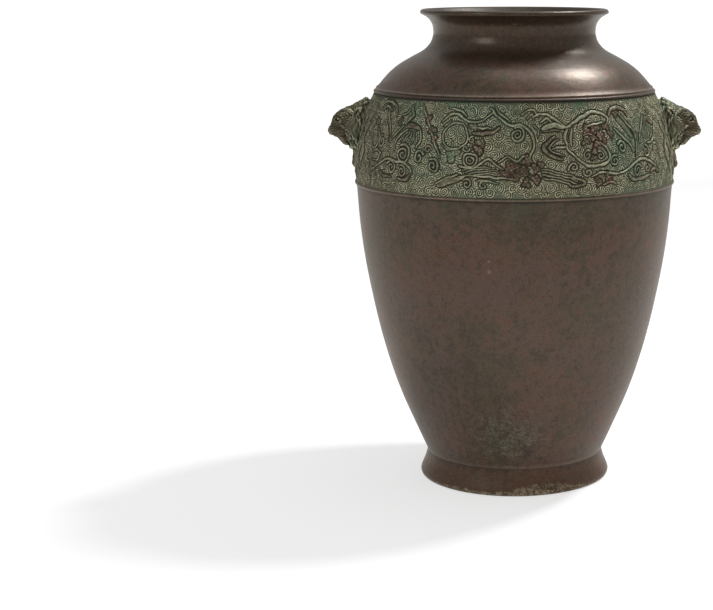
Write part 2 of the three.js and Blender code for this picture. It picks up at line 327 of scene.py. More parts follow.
def relief_finish(name, lean, red, side_shade):
    """A verdigris ground with painted shade in its grooves, pale ridges that are partly rubbed metal and
    partly painted highlight, and brown figures. Lean adds brown, red is the share of the red spots, and
    the last argument paints shade over the metal towards the heads."""
    look = bpy.context.scene.vase_finish
    f = Finish(name)
    broad = f.noise(26, 5, 0.6, 0.3)
    patch = f.noise(75, 5, 0.62, 0.4)
    cloud = f.noise(160, 5, 0.65)
    speck = f.noise(520, 4, 0.65)
    tone = f.mix(broad.between(0.42, 0.6), look.ground, look.ground_teal)
    tone = f.mix(patch.between(0.46, 0.62) * 0.75, tone, look.ground_brown)
    tone = f.mix((cloud * 0.6 + patch * 0.5).between(0.6, 0.72) * 0.6, tone, look.verdigris)
    brown = (f.mark("figure") + cloud * 0.7 + lean).between(0.75, 1.15)
    figure = f.mix((patch + speck * 0.5).between(0.7, 0.86) * red, look.figure, look.figure_red)
    tone = f.mix(brown, tone, figure)
    tone = f.mix(f.mark("verdigris") * cloud.between(0.3, 0.6), tone, look.verdigris)
    # Painted shade: the metal towards the heads is darkened, the left side most, away from the key lamp.
    by_left = f.away(LEFT_SIDE).between(0.1, 0.03)
    by_right = f.away(RIGHT_SIDE).between(0.085, 0.02) * 0.6
    side_shade_share = by_left.highest(by_right) * side_shade
    tone = f.mix(side_shade_share, tone, look.bronze_olive)
    uneven = 0.15 + patch.between(0.4, 0.6) * 0.4 + speck.between(0.42, 0.6) * 0.8
    # Pale crests: partly rubbed metal, partly painted highlight, less of it on the shaded side by the
    # heads.
    rubbed = f.mark("wear_and_highlight") * uneven * (1 - brown * 0.4) * (1 - side_shade_share * 0.3)
    tone = f.mix(rubbed, tone, look.wear_and_highlight)
    # Painted shade in the grooves and hollows.
    tone = f.mix(f.mark("painted_shade"), tone, look.groove)
    rough = 0.5 + cloud * 0.2 - f.mark("wear_and_highlight") * 0.14
    return f.close({
        "Base Color": tone,
        "Roughness": rough,
        "Metallic": 0.5,
        "Specular IOR Level": 0.3,
        "Specular Tint": (0.9, 0.85, 0.7, 1),
        "Normal": f.bump(speck, 0.0001),
    })


# Turned body

def foot_underside():
    """Base plate and the inner side of the foot ring, from the axis outwards."""
    return [(0, 14.2), (30, 14.2), (44, 14.2), (46.4, 13.6), (48.0, 11.5), (49.4, 6), (50.5, 0.8),
            (50.9, 0.1)]


def foot_outside():
    """The flared foot up to the pinched waist."""
    return through([(53.4, 0.0), (54.8, 0.8), (55.3, 2.6), (54.3, 5.4), (52.6, 9.6), (51.15, 15)], 4)


def belly_line():
    """The belly up to the lower moulding."""
    return through([(51.15, 15), (57.8, 30), (66.3, 50), (73.1, 70), (78.5, 90), (82.8, 110),
                    (86.4, 130), (88.9, 150), (90.3, 169.6)], 5)


def lower_bead_line():
    """The lower moulding."""
    return through([(90.5, 171.4), (90.45, 172.1), (90.75, 172.6), (91.45, 173.0), (91.6, 173.6),
                    (91.3, 174.2), (90.7, 174.7), (89.6, 174.9)], 3)


def upper_bead_line():
    """The upper moulding: a bead, a groove and a thin line."""
    return through([(78.4, 224.3), (79.8, 224.35), (80.2, 224.8), (80.0, 225.4), (79.35, 225.8),
                    (78.8, 226.05), (78.72, 226.4), (78.9, 226.8), (78.6, 227.2), (77.8, 227.75),
                    (76.9, 228.6)], 3)


def shoulder_line():
    """Shoulder, neck and lip."""
    return through([(76.9, 228.6), (74.0, 232.1), (70.0, 236.2), (64.9, 240.1), (58.3, 243.9),
                    (51.5, 247.7), (47.7, 251.8), (46.3, 255.4), (46, 258), (46.6, 262), (48.6, 265.2),
                    (51.0, 266.95), (52.6, 267.7), (53.25, 268.3), (53.3, 269.1), (52.9, 269.9),
                    (52.0, 270.45), (51.0, 270.3)], 4)


def inside_line():
    """The inside from the lip down to the middle of the floor."""
    return through([(50.1, 269.4), (46.6, 266.6), (43.8, 262.6), (43, 258), (43.7, 253.6), (49, 246.4),
                    (58.6, 240.4), (68, 233.4), (75.2, 224), (82.4, 208), (86.4, 190), (87.2, 172),
                    (85.8, 150), (79.6, 110), (70.2, 71), (56, 33), (49.6, 22), (45, 18.6), (38, 18),
                    (0, 18)], 2)


def shell_profile():
    """The whole closed profile, in order round the wall; the frieze's wall lies sunk."""
    frieze_z = np.linspace(175.4, 223.8, 12)
    sunk = np.column_stack([frieze_radius(frieze_z) - SINK, frieze_z])
    crease = [(51.25, 14.4), (51.15, 14.9), (51.2, 15.3), (51.45, 15.8)]
    parts = [foot_underside(), foot_outside()[:-1], crease, belly_line()[1:], lower_bead_line(), sunk,
             upper_bead_line(), shoulder_line()[1:], inside_line()]
    return np.vstack([np.asarray(p, float) for p in parts])


def line_marks(profile):
    """Worn crests, painted shade in grooves, under the upper bead, at the foot's edges and inside, and
    bands of patina, by place on the turned profile.
    """
    z = profile[:, 1]
    number = np.arange(len(z))
    inner = number >= len(z) - len(inside_line())
    outside = (number > len(foot_underside())) & ~inner
    bead = outside & (z > 170) & (z < 175.5)
    top_bead = outside & (z > 222.9) & (z < 229)
    worn = (0.5 * bead * band(z, 173.5, 0.4)
            + 0.75 * top_bead * band(z, 226.9, 0.35)
            + 0.06 * top_bead * band(z, 225.4, 0.3)
            + 0.3 * outside * band(z, 15.8, 0.35))
    # Painted shade: darker in the mouldings' grooves, under the upper bead, in the crease over the foot,
    # along the foot's edge on the floor and over the whole inside.
    painted_shade = (0.8 * bead * band(z, 172.3, 0.4)
              + 0.5 * top_bead * band(z, 226.15, 0.3)
              + top_bead * band(z, 224.5, 0.4)
              + 0.3 * top_bead * band(z, 225.2, 0.5)
              + 0.4 * outside * band(z, 15.0, 0.4)
              + 0.8 * outside * band(z, 0, 0.5)
              + 0.6 * inner)
    green = 0.8 * bead * smoothstep(174.2, 174.8, z)
    green = green + 0.22 * outside * smoothstep(150, 168, z) * (z < 172)
    return {
        "worn": worn,
        "painted_shade": np.clip(painted_shade, 0, 1),
        "verdigris": green,
        "foot": outside * (1 - smoothstep(12, 14.5, z)),
        "polish": outside * smoothstep(228, 232, z),
        "haze": outside * band(z, 100, 45),
        "neck": outside * smoothstep(240, 248, z),
    }


def turned_shell(segments):
    """Closed skin of the profile turned round the axis, both ends on the axis."""
    profile = shell_profile()
    ring = profile[1:-1]
    angles = np.arange(segments) / segments * TURN
    x = np.outer(ring[:, 0], np.cos(angles))
    y = np.outer(ring[:, 0], np.sin(angles))
    z = np.outer(ring[:, 1], np.ones(segments))
    points = np.column_stack([x.ravel(), y.ravel(), z.ravel()])
    points = np.vstack([points, [0, 0, profile[0, 1]], [0, 0, profile[-1, 1]]])
    index = np.arange(ring.shape[0] * segments).reshape(-1, segments)
    index = np.column_stack([index, index[:, 0]])
    faces = quads(index).tolist()
    low, high = len(points) - 2, len(points) - 1
    first, last = index[0].tolist(), index[-1].tolist()
    for j in range(segments):
        faces.append((low, first[j + 1], first[j]))
        faces.append((high, last[j], last[j + 1]))
    marks = {}
    for name, values in line_marks(profile).items():
        marks[name] = np.append(np.repeat(values[1:-1], segments), [values[0], values[-1]])
    around = np.append(np.tile(angles, len(ring)), [0, 0]) + math.radians(72)
    main_patch = 3.9 * np.exp((np.cos(around) - 1) / 0.07)
    side_patch = 0.9 * np.exp((np.cos(around + 0.95) - 1) / 0.05)
    climb = 1.5 + main_patch + side_patch
    marks["crust"] = (marks["foot"] > 0) * (1 - smoothstep(0.1, 1.0, points[:, 2] / (2 * climb)))
    return points, faces, marks


# Frieze

class Relief:
    """Half a turn of the frieze as a height field, which repeats round the vase. The figures stand
    out, the cover clears the ground under and around them, and the moat is the groove round them."""

    def __init__(self):
        self.step = HALF_ARC / COLUMNS
        shape = (ROWS + 1, COLUMNS)
        self.figure = np.zeros(shape)
        self.cover = np.zeros(shape)
        self.core = np.zeros(shape)
        self.moat = np.zeros(shape)
        self.brown = np.zeros(shape)
        self.rounds = []

    def window(self, points, pad):
        """Cells around the points: where they are stored, and their places."""
        low, high = points.min(0) - pad, points.max(0) + pad
        cols = np.arange(int(low[0] // self.step), int(high[0] // self.step) + 2)
        rows = np.flatnonzero((ROW_Z >= low[1]) & (ROW_Z <= high[1]))
        where = np.ix_(rows, (cols + COLUMNS // 2) % COLUMNS)
        u, z = np.meshgrid(cols * self.step, ROW_Z[rows])
        return where, u, z

    def press(self, where, rise, edge, brown, moat, spread):
        """Sets a form into the fields; edge is the distance outside its outline."""
        for field, value in (
            (self.figure, rise),
            (self.cover, 1 - smoothstep(0.3, moat, edge)),
            (self.core, 1 - smoothstep(-0.3, 0.15, edge)),
            (self.brown, brown * (1 - smoothstep(-0.1, spread, edge))),
        ):
            field[where] = np.maximum(field[where], value)

    def lay(self, path, width, proud, brown=0.0, moat=0.85, flat=3.2):
        """A raised stroke along a path in millimetres; width is a number or one for each point."""
        path = np.asarray(path, float)
        half = np.broadcast_to(np.asarray(width, float) / 2, len(path))
        where, u, z = self.window(path, half.max() + moat + 0.3)
        edge = np.full(u.shape, FAR_OFF)
        share = np.full(u.shape, FAR_OFF)
        for i in range(len(path) - 1):
            du, dz = path[i + 1] - path[i]
            along = (u - path[i, 0]) * du + (z - path[i, 1]) * dz
            t = np.clip(along / (du * du + dz * dz + 1e-9), 0, 1)
            distance = np.hypot(u - path[i, 0] - t * du, z - path[i, 1] - t * dz)
            here = half[i] + (half[i + 1] - half[i]) * t
            nearer = distance - here < edge
            edge = np.where(nearer, distance - here, edge)
            share = np.where(nearer, distance / np.maximum(here, 0.05), share)
        dome = np.clip(1 - share ** flat, 0, 1) ** 0.6
        self.press(where, proud * dome, edge, brown, moat, 0.4)

    def stroke(self, spots, width, proud=0.6, brown=0.0, taper=0.45):
        """A smooth stroke through spots given in degrees and millimetres up."""
        line = through([(d * DEGREE, z) for d, z in spots], 6)
        t = np.linspace(0, 1, len(line))
        swell = taper + (1 - taper) * np.sin(np.pi * t) ** 0.6
        self.lay(line, width * swell, proud, brown)

    def curl(self, degrees, z, radius, turns, start, hand, width=1.1, proud=0.6, brown=0.0):
        """A spiral that winds inwards from its rim."""
        t = np.linspace(0, 1, int(20 * turns) + 4)
        r = radius * (1 - 0.86 * t)
        a = math.radians(start) + hand * turns * TURN * t
        path = np.column_stack([degrees * DEGREE + r * np.cos(a), z + r * np.sin(a)])
        self.lay(path, width * (1 - 0.35 * t), proud, brown)

    def lump(self, degrees, z, radius, proud=0.9, brown=1.0):
        """A worn lump with an uneven outline."""
        centre = np.array([(degrees * DEGREE, z)])
        where, u, z = self.window(centre, radius * 1.6 + 0.8)
        du, dz = u - centre[0, 0], z - centre[0, 1]
        phase = degrees * 2.7 + centre[0, 1]
        a = np.arctan2(dz, du)
        reach = radius * (1 + 0.22 * np.sin(2 * a + phase) + 0.2 * np.sin(3 * a + 2 * phase)
                          + 0.1 * np.sin(5 * a + 3 * phase))
        share = np.hypot(du, dz) / reach
        crumple = np.abs(np.sin(1.5 * du + 0.8 * dz + phase))
        crumple = crumple + np.abs(np.sin(1.9 * dz - 0.9 * du + 2 * phase))
        dome = np.clip(1 - share ** 2, 0, 1) ** 0.6 * (0.58 + 0.26 * crumple)
        self.press(where, proud * dome, (share - 1) * radius, brown, 0.8, 0.5)

    def ring(self, degrees, z, radius, width=0.9, proud=0.7, tall=1.0):
        """A raised ring; tall is its height as a share of its width."""
        a = np.linspace(0, TURN, 30)
        path = np.column_stack([degrees * DEGREE + radius * np.cos(a), z + radius * tall * np.sin(a)])
        self.lay(path, width, proud)

    def rays(self, first, last, count, width=0.8, proud=0.55, brown=0.0):
        """Strokes side by side, each a blend of the first and the last."""
        first, last = np.asarray(first, float), np.asarray(last, float)
        for i in range(count):
            self.stroke(first + (last - first) * i / max(count - 1, 1), width, proud, brown)

    def roundels(self, rng):
        """Centres, radii and hands of the ground's spirals: those listed, then ever smaller ones."""
        free = 1 - self.cover
        picked = [(d * DEGREE, z, r, 1 if i % 2 else -1) for i, (d, z, r) in enumerate(self.rounds)]
        for radius in (2.7, 2.3, 1.9, 1.5):
            tries_u = rng.uniform(-HALF_ARC / 2, HALF_ARC / 2, TRIES)
            tries_z = rng.uniform(176.0, 223.2, TRIES)
            for u, z in zip(tries_u, tries_z):
                col = int(round(u / self.step)) + COLUMNS // 2
                row = int(np.searchsorted(ROW_Z, z))
                taken = free[min(row, ROWS), col % COLUMNS] < 0.6
                if taken or min(z - GROUND_LOW, GROUND_HIGH - z) < radius * 0.8:
                    continue
                if all(math.hypot(across(u, pu), z - pz) >= pr + radius - 0.1
                       for pu, pz, pr, _ in picked):
                    picked.append((u, z, radius, 1 if rng.random() < 0.5 else -1))
        return picked

    def ground(self, rng):
        """Spiral roundels fill what the figures leave free."""
        edge = np.full(self.cover.shape, FAR_OFF)
        wave = np.zeros(self.cover.shape)
        for u0, z0, radius, hand in self.roundels(rng):
            where, u, z = self.window(np.array([(u0, z0)]), radius + 3.2)
            away = np.hypot(u - u0, z - z0)
            turn = np.arctan2(z - z0, u - u0) / TURN
            nearer = away - radius < edge[where]
            ridge = np.cos(TURN * (away / SPIRAL_PITCH - hand * turn))
            fade = 1 - 0.7 * smoothstep(0.0, 1.2, away - radius)
            edge[where] = np.where(nearer, away - radius, edge[where])
            wave[where] = np.where(nearer, ridge * fade, wave[where])
        strip = smoothstep(174.5, 175.2, ROW_Z) * (1 - smoothstep(223.8, 224.5, ROW_Z))
        return wave * (1 - self.cover) * strip[:, None]

    def heights(self, proud):
        """The whole relief, its lines a little wavering and its ridges worn unevenly."""
        rng = np.random.default_rng(11)
        field = GROUND_RISE * self.ground(rng) - MOAT_DEPTH * self.cover + self.figure * proud
        rows, cols = np.mgrid[0:ROWS + 1, 0:COLUMNS]
        drift = [even(soften(rng.normal(size=field.shape), 60)) * 0.55 for _ in range(2)]
        edge = smoothstep(0, 10, rows) * smoothstep(0, 10, ROWS - rows)
        rows, cols = rows + drift[0] * edge * 1.6, cols + drift[1] * edge * 1.6
        field = sampled(field, rows, cols)
        self.brown = sampled(self.brown, rows, cols)
        self.moat = sampled(np.clip(self.cover - self.core, 0, 1), rows, cols)
        self.core = sampled(self.core, rows, cols)
        wear = even(soften(rng.normal(size=field.shape), 40))
        pits = even(soften(rng.normal(size=field.shape), 2))
        return field * (0.86 + 0.16 * wear) + 0.035 * pits * edge


def across(u, other):
    """Distance sideways between two places on the frieze, the short way round."""
    return (u - other + HALF_ARC / 2) % HALF_ARC - HALF_ARC / 2


def soften(field, passes):
    """Blurs a field that repeats sideways."""
    for _ in range(passes):
        field = (np.roll(field, 1, 1) + 2 * field + np.roll(field, -1, 1)) / 4
        padded = np.vstack([field[:1], field, field[-1:]])
        field = (padded[:-2] + 2 * padded[1:-1] + padded[2:]) / 4
    return field


def even(field):
    """A random field brought to a spread of one."""
    return (field - field.mean()) / field.std()


def sampled(field, rows, cols):
    """The field read between its cells."""
    low, left = np.floor(rows).astype(int), np.floor(cols).astype(int)
    v, h = rows - low, cols - left
    low, high = np.clip(low, 0, ROWS), np.clip(low + 1, 0, ROWS)
    right = (left + 1) % COLUMNS
    left = left % COLUMNS
    below = field[low, left] * (1 - h) + field[low, right] * h
    above = field[high, left] * (1 - h) + field[high, right] * h
    return below * (1 - v) + above * v


def draw_beast(f):
    """The beast with the ringed disc, left of the middle, and the wing below it."""
    f.ring(-21, 206.7, 7.2, 1.0, 0.75, 0.95)
    f.stroke([(-27, 213.5), (-24.5, 217.2), (-21, 217.8), (-17.5, 215), (-14, 213.8), (-10.5, 215.4),
              (-8, 218.6)], 1.2)
    f.stroke([(-25, 220.6), (-21, 219.8), (-17.5, 217.2)], 1.0, 0.5)
    f.stroke([(-14.8, 208.6), (-11.5, 208.0), (-8.2, 208.8), (-5.2, 211.4)], 2.2, 0.9, 0.9)
    f.stroke([(-13.5, 211.2), (-11, 210.3), (-8.5, 210.9)], 1.1, 0.7)
    f.lump(-14.6, 211.6, 2.0, 0.7, 0.6)
    f.curl(-14.8, 205.0, 1.9, 1.2, 90, 1, 0.9, 0.7, 0.6)
    f.lump(-11.6, 203.4, 2.2, 0.7, 0.7)
    f.curl(-16.8, 200.4, 2.0, 1.1, 0, -1, 1.0, 0.8, 0.5)
    f.lump(-12.4, 199.8, 2.5, 0.8, 1.0)
    f.ring(-15.1, 194.2, 3.7, 1.1, 0.85)
    f.ring(-15.1, 194.2, 1.9, 0.8, 0.8)
    f.lump(-15.1, 194.2, 1.0, 0.9, 0.8)
    f.lump(-21.6, 196.6, 3.6, 0.8, 0.2)
    f.stroke([(-19, 191.4), (-17, 190.3), (-14, 189.8), (-11.6, 192.2), (-9, 195.2), (-6.4, 193),
              (-3.8, 189.6)], 1.3, 0.9, 0.3)
    f.rays([(-17.6, 189.0), (-12, 190.6), (-6.5, 190.3)],
           [(-15, 186.2), (-10, 187.4), (-4.4, 186.6)], 4, 0.8, 0.7, 0.35)
    f.stroke([(-27.5, 181.6), (-24, 184.4), (-19, 187)], 1.1, 0.7)
    f.stroke([(-26.6, 180.6), (-23, 183.0), (-17.5, 185.4)], 3.4, 0.75, 0.6)
    f.stroke([(-19, 186.2), (-12, 186.1), (-6, 185.6), (0.5, 184.2)], 1.2, 0.8)
    f.curl(-16.4, 181.6, 2.7, 1.2, 120, -1, 1.0)
    f.curl(-10.2, 181.2, 3.0, 1.0, 60, 1, 1.1)
    f.stroke([(-12.8, 183.6), (-9.6, 184.2), (-5.6, 182.8)], 1.0, 0.6)
    f.stroke([(-26.2, 210.8), (-23.4, 214.6)], 1.0, 0.5)
    f.stroke([(-26.0, 201.8), (-23.0, 199.6), (-20.0, 200.6)], 1.0, 0.6)


def draw_fern(f):
    """The long fern in the middle and the cluster of lumps under it."""
    f.stroke([(-9.2, 221.0), (-6.2, 217.2), (-2.2, 213.0), (2.6, 212.4), (5.9, 208.4), (6.6, 202.6),
              (5.6, 197.4), (4.6, 193.4)], 1.5, 0.75)
    f.stroke([(-7.4, 221.2), (-4.6, 217.6), (-1.4, 214.4)], 0.9, 0.5)
    f.curl(1.0, 207.6, 4.3, 2.2, 110, -1, 1.15, 0.75)
    f.stroke([(6.8, 212.6), (8.6, 209.8), (8.2, 206.4)], 0.8, 0.5)
    f.stroke([(2.6, 217.6), (4.6, 220.0), (7.2, 219.6), (8.6, 216.8)], 1.0, 0.6)
    f.stroke([(4.6, 216.2), (6.2, 217.8), (7.0, 215.4)], 0.9, 0.5, 0.3)
    for d, z, r, p in ((-0.8, 191.2, 2.9, 0.9), (2.9, 189.2, 2.4, 0.8), (4.2, 194.6, 2.0, 1.0),
                       (-3.2, 187.2, 2.0, 0.7), (0.8, 186.4, 2.2, 0.8), (7.4, 190.8, 1.8, 0.9),
                       (7.0, 185.0, 2.1, 0.8), (4.0, 182.6, 1.7, 0.7), (9.0, 192.4, 1.3, 0.8)):
        f.lump(d, z, r * 1.25, p)
    f.stroke([(-5.4, 193.8), (-2.6, 196.2), (0.8, 194.4), (3.4, 196.6), (6, 193.8)], 1.0, 0.8, 0.4)


def draw_leaves(f):
    """Leaves and feathers right of the middle."""
    f.stroke([(10.0, 210.6), (13.6, 212.2), (18.0, 211.4)], 2.9, 1.0, 0.35)
    f.stroke([(9.8, 209.4), (13.0, 209.8), (16.4, 209.9)], 1.3, 0.7, 1.0)
    f.stroke([(6.6, 216.4), (10.0, 218.6), (13.4, 216.4), (16.2, 213.8), (18.6, 211.4)], 1.3, 0.6)
    f.stroke([(9.4, 213.8), (11.6, 215.8), (13.4, 213.9)], 1.5, 0.8, 0.5)
    f.stroke([(14.0, 206.4), (11.4, 203.4), (10.2, 200.6), (11.8, 197.6), (16.2, 195.2)], 2.2, 0.9, 1.0)
    f.stroke([(15.4, 205.0), (12.9, 202.6), (12.2, 200.6), (13.4, 198.8), (17.2, 197.2)], 0.9, 0.8)
    f.stroke([(13.0, 200.4), (16.0, 201.4), (18.4, 201.2)], 1.0, 0.6)
    f.rays([(9.4, 189.6), (14, 188.6), (19, 186.2), (22.6, 183.6)],
           [(9.6, 185.4), (13.6, 184.4), (17.4, 182.4), (20.4, 180.6)], 4, 0.9, 0.7)
    f.stroke([(19.2, 184.6), (22.4, 184.0), (24.2, 182.0), (22.2, 180.4), (18.6, 181.0)], 1.8, 0.9, 0.9)
    f.curl(20.4, 190.2, 2.7, 1.3, 200, -1, 1.1, 0.7)
    f.curl(25.4, 187.6, 2.7, 1.3, 160, 1, 1.1, 0.7)


def draw_cloud(f):
    """The closed cloud scroll with its blossom."""
    f.stroke([(18.4, 211.2), (21.4, 213.0), (25.0, 216.0), (29.4, 218.2), (33.4, 217.6), (36.2, 214.6),
              (35.4, 211.6)], 1.6, 0.85)
    f.stroke([(17.8, 201.6), (20.4, 197.2), (23.2, 193.2), (27.4, 190.6), (31.6, 191.2), (34.6, 194.6),
              (34.0, 199.4), (31.6, 202.4)], 1.6, 0.85)
    f.stroke([(19.0, 210.6), (17.8, 206.2), (18.4, 201.4)], 1.6, 0.7)
    f.stroke([(20.8, 210.6), (19.9, 206.2), (20.2, 202.0)], 1.6, 0.7)
    f.curl(26.0, 196.6, 2.7, 1.3, 60, 1, 0.9, 0.6)
    f.curl(30.8, 195.8, 2.6, 1.3, 120, -1, 0.9, 0.6)
    for d, z, r, p in ((26.4, 209.4, 1.9, 0.9), (29.6, 209.8, 2.1, 1.0), (31.6, 206.6, 2.0, 1.0),
                       (34.6, 210.2, 1.5, 0.8), (28.6, 205.4, 1.5, 0.8), (30.2, 202.2, 1.9, 0.9),
                       (25.2, 203.4, 1.6, 0.8), (28.4, 198.4, 1.3, 0.9), (33.0, 203.6, 1.4, 0.9),
                       (36.2, 206.8, 1.6, 0.8), (28.2, 195.0, 1.2, 0.9)):
        f.lump(d, z, r * 1.25, p)
    f.stroke([(24.8, 206.8), (27.4, 207.6), (30.8, 204.4)], 1.0, 0.8)
    f.stroke([(26.2, 211.4), (29.8, 212.2), (33.8, 212.4)], 1.2, 0.8, 0.4)
    f.lump(29.2, 182.4, 2.4, 0.8, 1.0)
    f.lump(33.4, 184.2, 2.6, 0.9, 1.0)
    f.stroke([(26.8, 184.8), (30.2, 186.8), (34.2, 186.4), (38.4, 185.6)], 1.3, 0.8, 0.3)
    f.stroke([(31.0, 180.6), (35.0, 181.6), (37.0, 179.8)], 1.6, 0.8, 0.7)


def draw_right_cluster(f):
    """Bent leaves, curls and fans towards the right head."""
    f.stroke([(36.8, 215.6), (38.6, 218.8), (42.0, 220.0), (45.4, 218.2), (46.6, 215.2)], 2.2, 0.9, 1.0)
    f.lump(40.6, 216.8, 2.2, 0.8, 1.0)
    f.stroke([(40.2, 215.8), (43.4, 210.6), (46.4, 204.4)], 3.6, 0.6)
    f.stroke([(41.8, 217.0), (45.8, 211.2), (48.4, 204.6), (48.0, 198.6), (46.8, 193.2)], 1.5, 0.9, 0.55)
    f.stroke([(38.0, 209.6), (41.4, 205.2), (44.6, 200.4), (46.2, 196.4)], 1.4, 0.8, 0.4)
    f.curl(40.6, 199.4, 3.3, 1.4, 150, -1, 1.3, 0.8)
    f.curl(36.8, 192.4, 3.4, 1.5, 60, 1, 1.1, 0.75)
    f.stroke([(38.6, 186.0), (42.0, 187.0), (46.0, 190.4), (50.2, 191.9), (54.6, 190.6), (58.4, 187.8),
              (59.4, 184.0)], 1.6, 0.9)
    f.curl(47.4, 186.2, 3.3, 1.5, 30, 1, 1.1, 0.8)
    f.curl(53.0, 187.0, 2.3, 1.2, 60, -1, 1.0, 0.7)
    f.stroke([(55.0, 184.4), (58.0, 186.0), (60.8, 184.2)], 2.2, 0.9, 1.0)
    f.stroke([(42.6, 184.0), (45.0, 182.0), (50.4, 181.8), (54.4, 182.6)], 1.9, 0.8, 0.7)
    f.stroke([(56.0, 214.4), (53.4, 209.8), (51.2, 205.0), (50.4, 200.6)], 1.2, 0.8)
    f.stroke([(63.4, 210.8), (61.8, 205.6), (59.0, 201.2), (54.8, 199.6)], 1.2, 0.8)
    f.rays([(55.6, 210.0), (53.8, 206.4), (53.0, 202.4)],
           [(60.6, 208.6), (59.6, 205.0), (57.4, 202.2)], 4, 0.8, 0.6)
    f.stroke([(55.2, 209.6), (58.2, 212.6), (61.4, 209.4)], 2.6, 0.9, 1.0)
    f.stroke([(57.2, 214.6), (59.0, 217.6), (60.8, 214.8)], 1.1, 0.7, 0.5)
    f.curl(53.4, 195.4, 3.1, 1.4, 90, -1, 1.1, 0.8)
    f.stroke([(57.6, 196.4), (60.0, 198.8), (62.6, 197.6), (63.0, 193.2)], 1.1, 0.7)
    f.stroke([(59.4, 191.0), (61.6, 194.8), (63.8, 190.2)], 1.0, 0.6)


def draw_left_cluster(f):
    """Large scrolls, leaves and fans towards the left head."""
    f.curl(-42.2, 195.4, 5.6, 2.2, 120, -1, 1.2, 0.85)
    f.stroke([(-47.0, 197.6), (-46.4, 202.6), (-43.8, 206.8), (-41.8, 208.4)], 1.3, 0.8)
    f.stroke([(-35.6, 208.4), (-35.0, 203.8), (-36.4, 198.8)], 1.3, 0.8)
    f.rays([(-44.4, 202.2), (-43.0, 205.4), (-41.4, 207.2)],
           [(-37.0, 200.4), (-36.9, 204.2), (-37.4, 207.4)], 5, 0.8, 0.55)
    f.stroke([(-43.0, 209.4), (-39.6, 210.6), (-35.8, 209.2)], 3.0, 0.9, 1.0)
    f.stroke([(-42.6, 212.0), (-40.6, 215.6), (-41.4, 219.6)], 1.4, 0.8, 0.5)
    f.stroke([(-46.4, 215.4), (-43.4, 217.4), (-41.0, 221.4)], 1.0, 0.6)
    f.curl(-34.8, 194.6, 3.3, 1.3, 30, 1, 1.2, 0.85)
    f.curl(-28.8, 190.4, 3.7, 1.6, 120, -1, 1.1, 0.8)
    f.stroke([(-37.0, 221.6), (-34.6, 216.2), (-31.8, 210.6), (-29.2, 203.4), (-26.4, 195.0)], 1.1, 0.8)
    f.lump(-33.0, 214.6, 2.0, 0.8, 0.8)
    f.lump(-30.4, 208.8, 2.3, 0.9, 0.9)
    f.lump(-29.2, 204.6, 1.6, 0.8, 0.8)
    f.curl(-31.4, 198.8, 2.4, 1.2, 0, 1, 0.9, 0.6)
    f.stroke([(-62.0, 217.6), (-60.4, 220.6), (-57.0, 222.0), (-53.0, 220.8), (-50.4, 218.2),
              (-49.4, 214.6)], 1.6, 0.8)
    f.stroke([(-60.0, 217.0), (-56.8, 219.4), (-53.0, 217.6)], 1.2, 0.7, 0.5)
    f.stroke([(-56.8, 218.8), (-55.4, 212.6), (-52.6, 206.8), (-51.4, 200.8)], 1.1, 0.8)
    f.stroke([(-54.8, 218.2), (-53.2, 212.6), (-51.0, 207.2), (-50.0, 201.0)], 0.9, 0.7)
    f.stroke([(-50.2, 201.0), (-46.6, 206.4), (-44.2, 210.6)], 1.0, 0.7)
    f.curl(-47.6, 187.6, 3.6, 1.6, 150, -1, 1.1, 0.8)
    f.curl(-42.2, 186.4, 3.2, 1.5, 120, -1, 1.1, 0.8)
    f.stroke([(-59.0, 185.2), (-55.0, 188.8), (-50.2, 192.0), (-45.4, 191.0), (-41.2, 190.8),
              (-38.0, 187.8), (-38.6, 183.6)], 1.5, 0.9)
    f.stroke([(-44.0, 182.4), (-40.4, 182.2), (-37.4, 185.6)], 2.2, 0.8, 1.0)
    f.stroke([(-54.6, 184.6), (-51.4, 183.2), (-47.6, 183.0)], 1.7, 0.7, 0.8)
    f.curl(-55.0, 200.8, 3.3, 1.4, 100, 1, 1.1, 0.75)
    f.stroke([(-60.0, 206.4), (-57.6, 204.4), (-57.8, 199.6), (-59.6, 196.8), (-62.2, 198.4),
              (-63.0, 203.8)], 1.0, 0.65)
    f.stroke([(-60.6, 194.6), (-57.8, 196.4), (-55.0, 194.6), (-56.4, 190.6), (-60.0, 190.4)], 1.2, 0.7)
    f.lump(-60.6, 210.4, 2.4, 0.8, 0.9)
    f.lump(-58.8, 206.0, 1.9, 0.8, 0.9)
    f.lump(-46.4, 212.4, 1.8, 0.8, 0.8)
    f.rays([(-66.0, 186.0), (-64.0, 190.0), (-62.0, 186.4)],
           [(-60.6, 182.4), (-58.6, 186.0), (-56.6, 182.6)], 2, 1.0, 0.6)


def draw_mane(f, side):
    """Wavy strands of mane on the wall round a head, and a thick lock under it."""
    for k, (low, high) in enumerate(((179.0, 192.0), (178.4, 214.5), (182.0, 212.0), (184.0, 209.5))):
        z = np.linspace(low, high, 12)
        sway = 1.5 * np.sin(z / 2.4 + k * 1.9) * (0.6 + 0.1 * k)
        spots = np.column_stack([side * (90 - (6.6 + 4.3 * k) + sway), z])
        f.stroke(spots, 2.7, 1.15, 0.55, 0.5)
    for k in range(5):
        tuft = [(side * (90 - 3.5 * k), 221.4 - 0.3 * k), (side * (88.4 - 3.5 * k), 218.8 - 0.9 * k)]
        f.stroke(tuft, 1.5, 0.7, 0.5)
    if side < 0:
        # The grid repeats after half a turn, so one lock serves both heads.
        return
    for k in range(-2, 3):
        spots = ((90 + k * 1.45, 190.8), (90 + k * 1.5, 186.4), (90 + k * 1.2, 182.2))
        path = through([(d * DEGREE, z) for d, z in spots], 6)
        f.lay(path, 3.2, 3.0 - 0.25 * abs(k), 0.7, 0.5, 2.6)


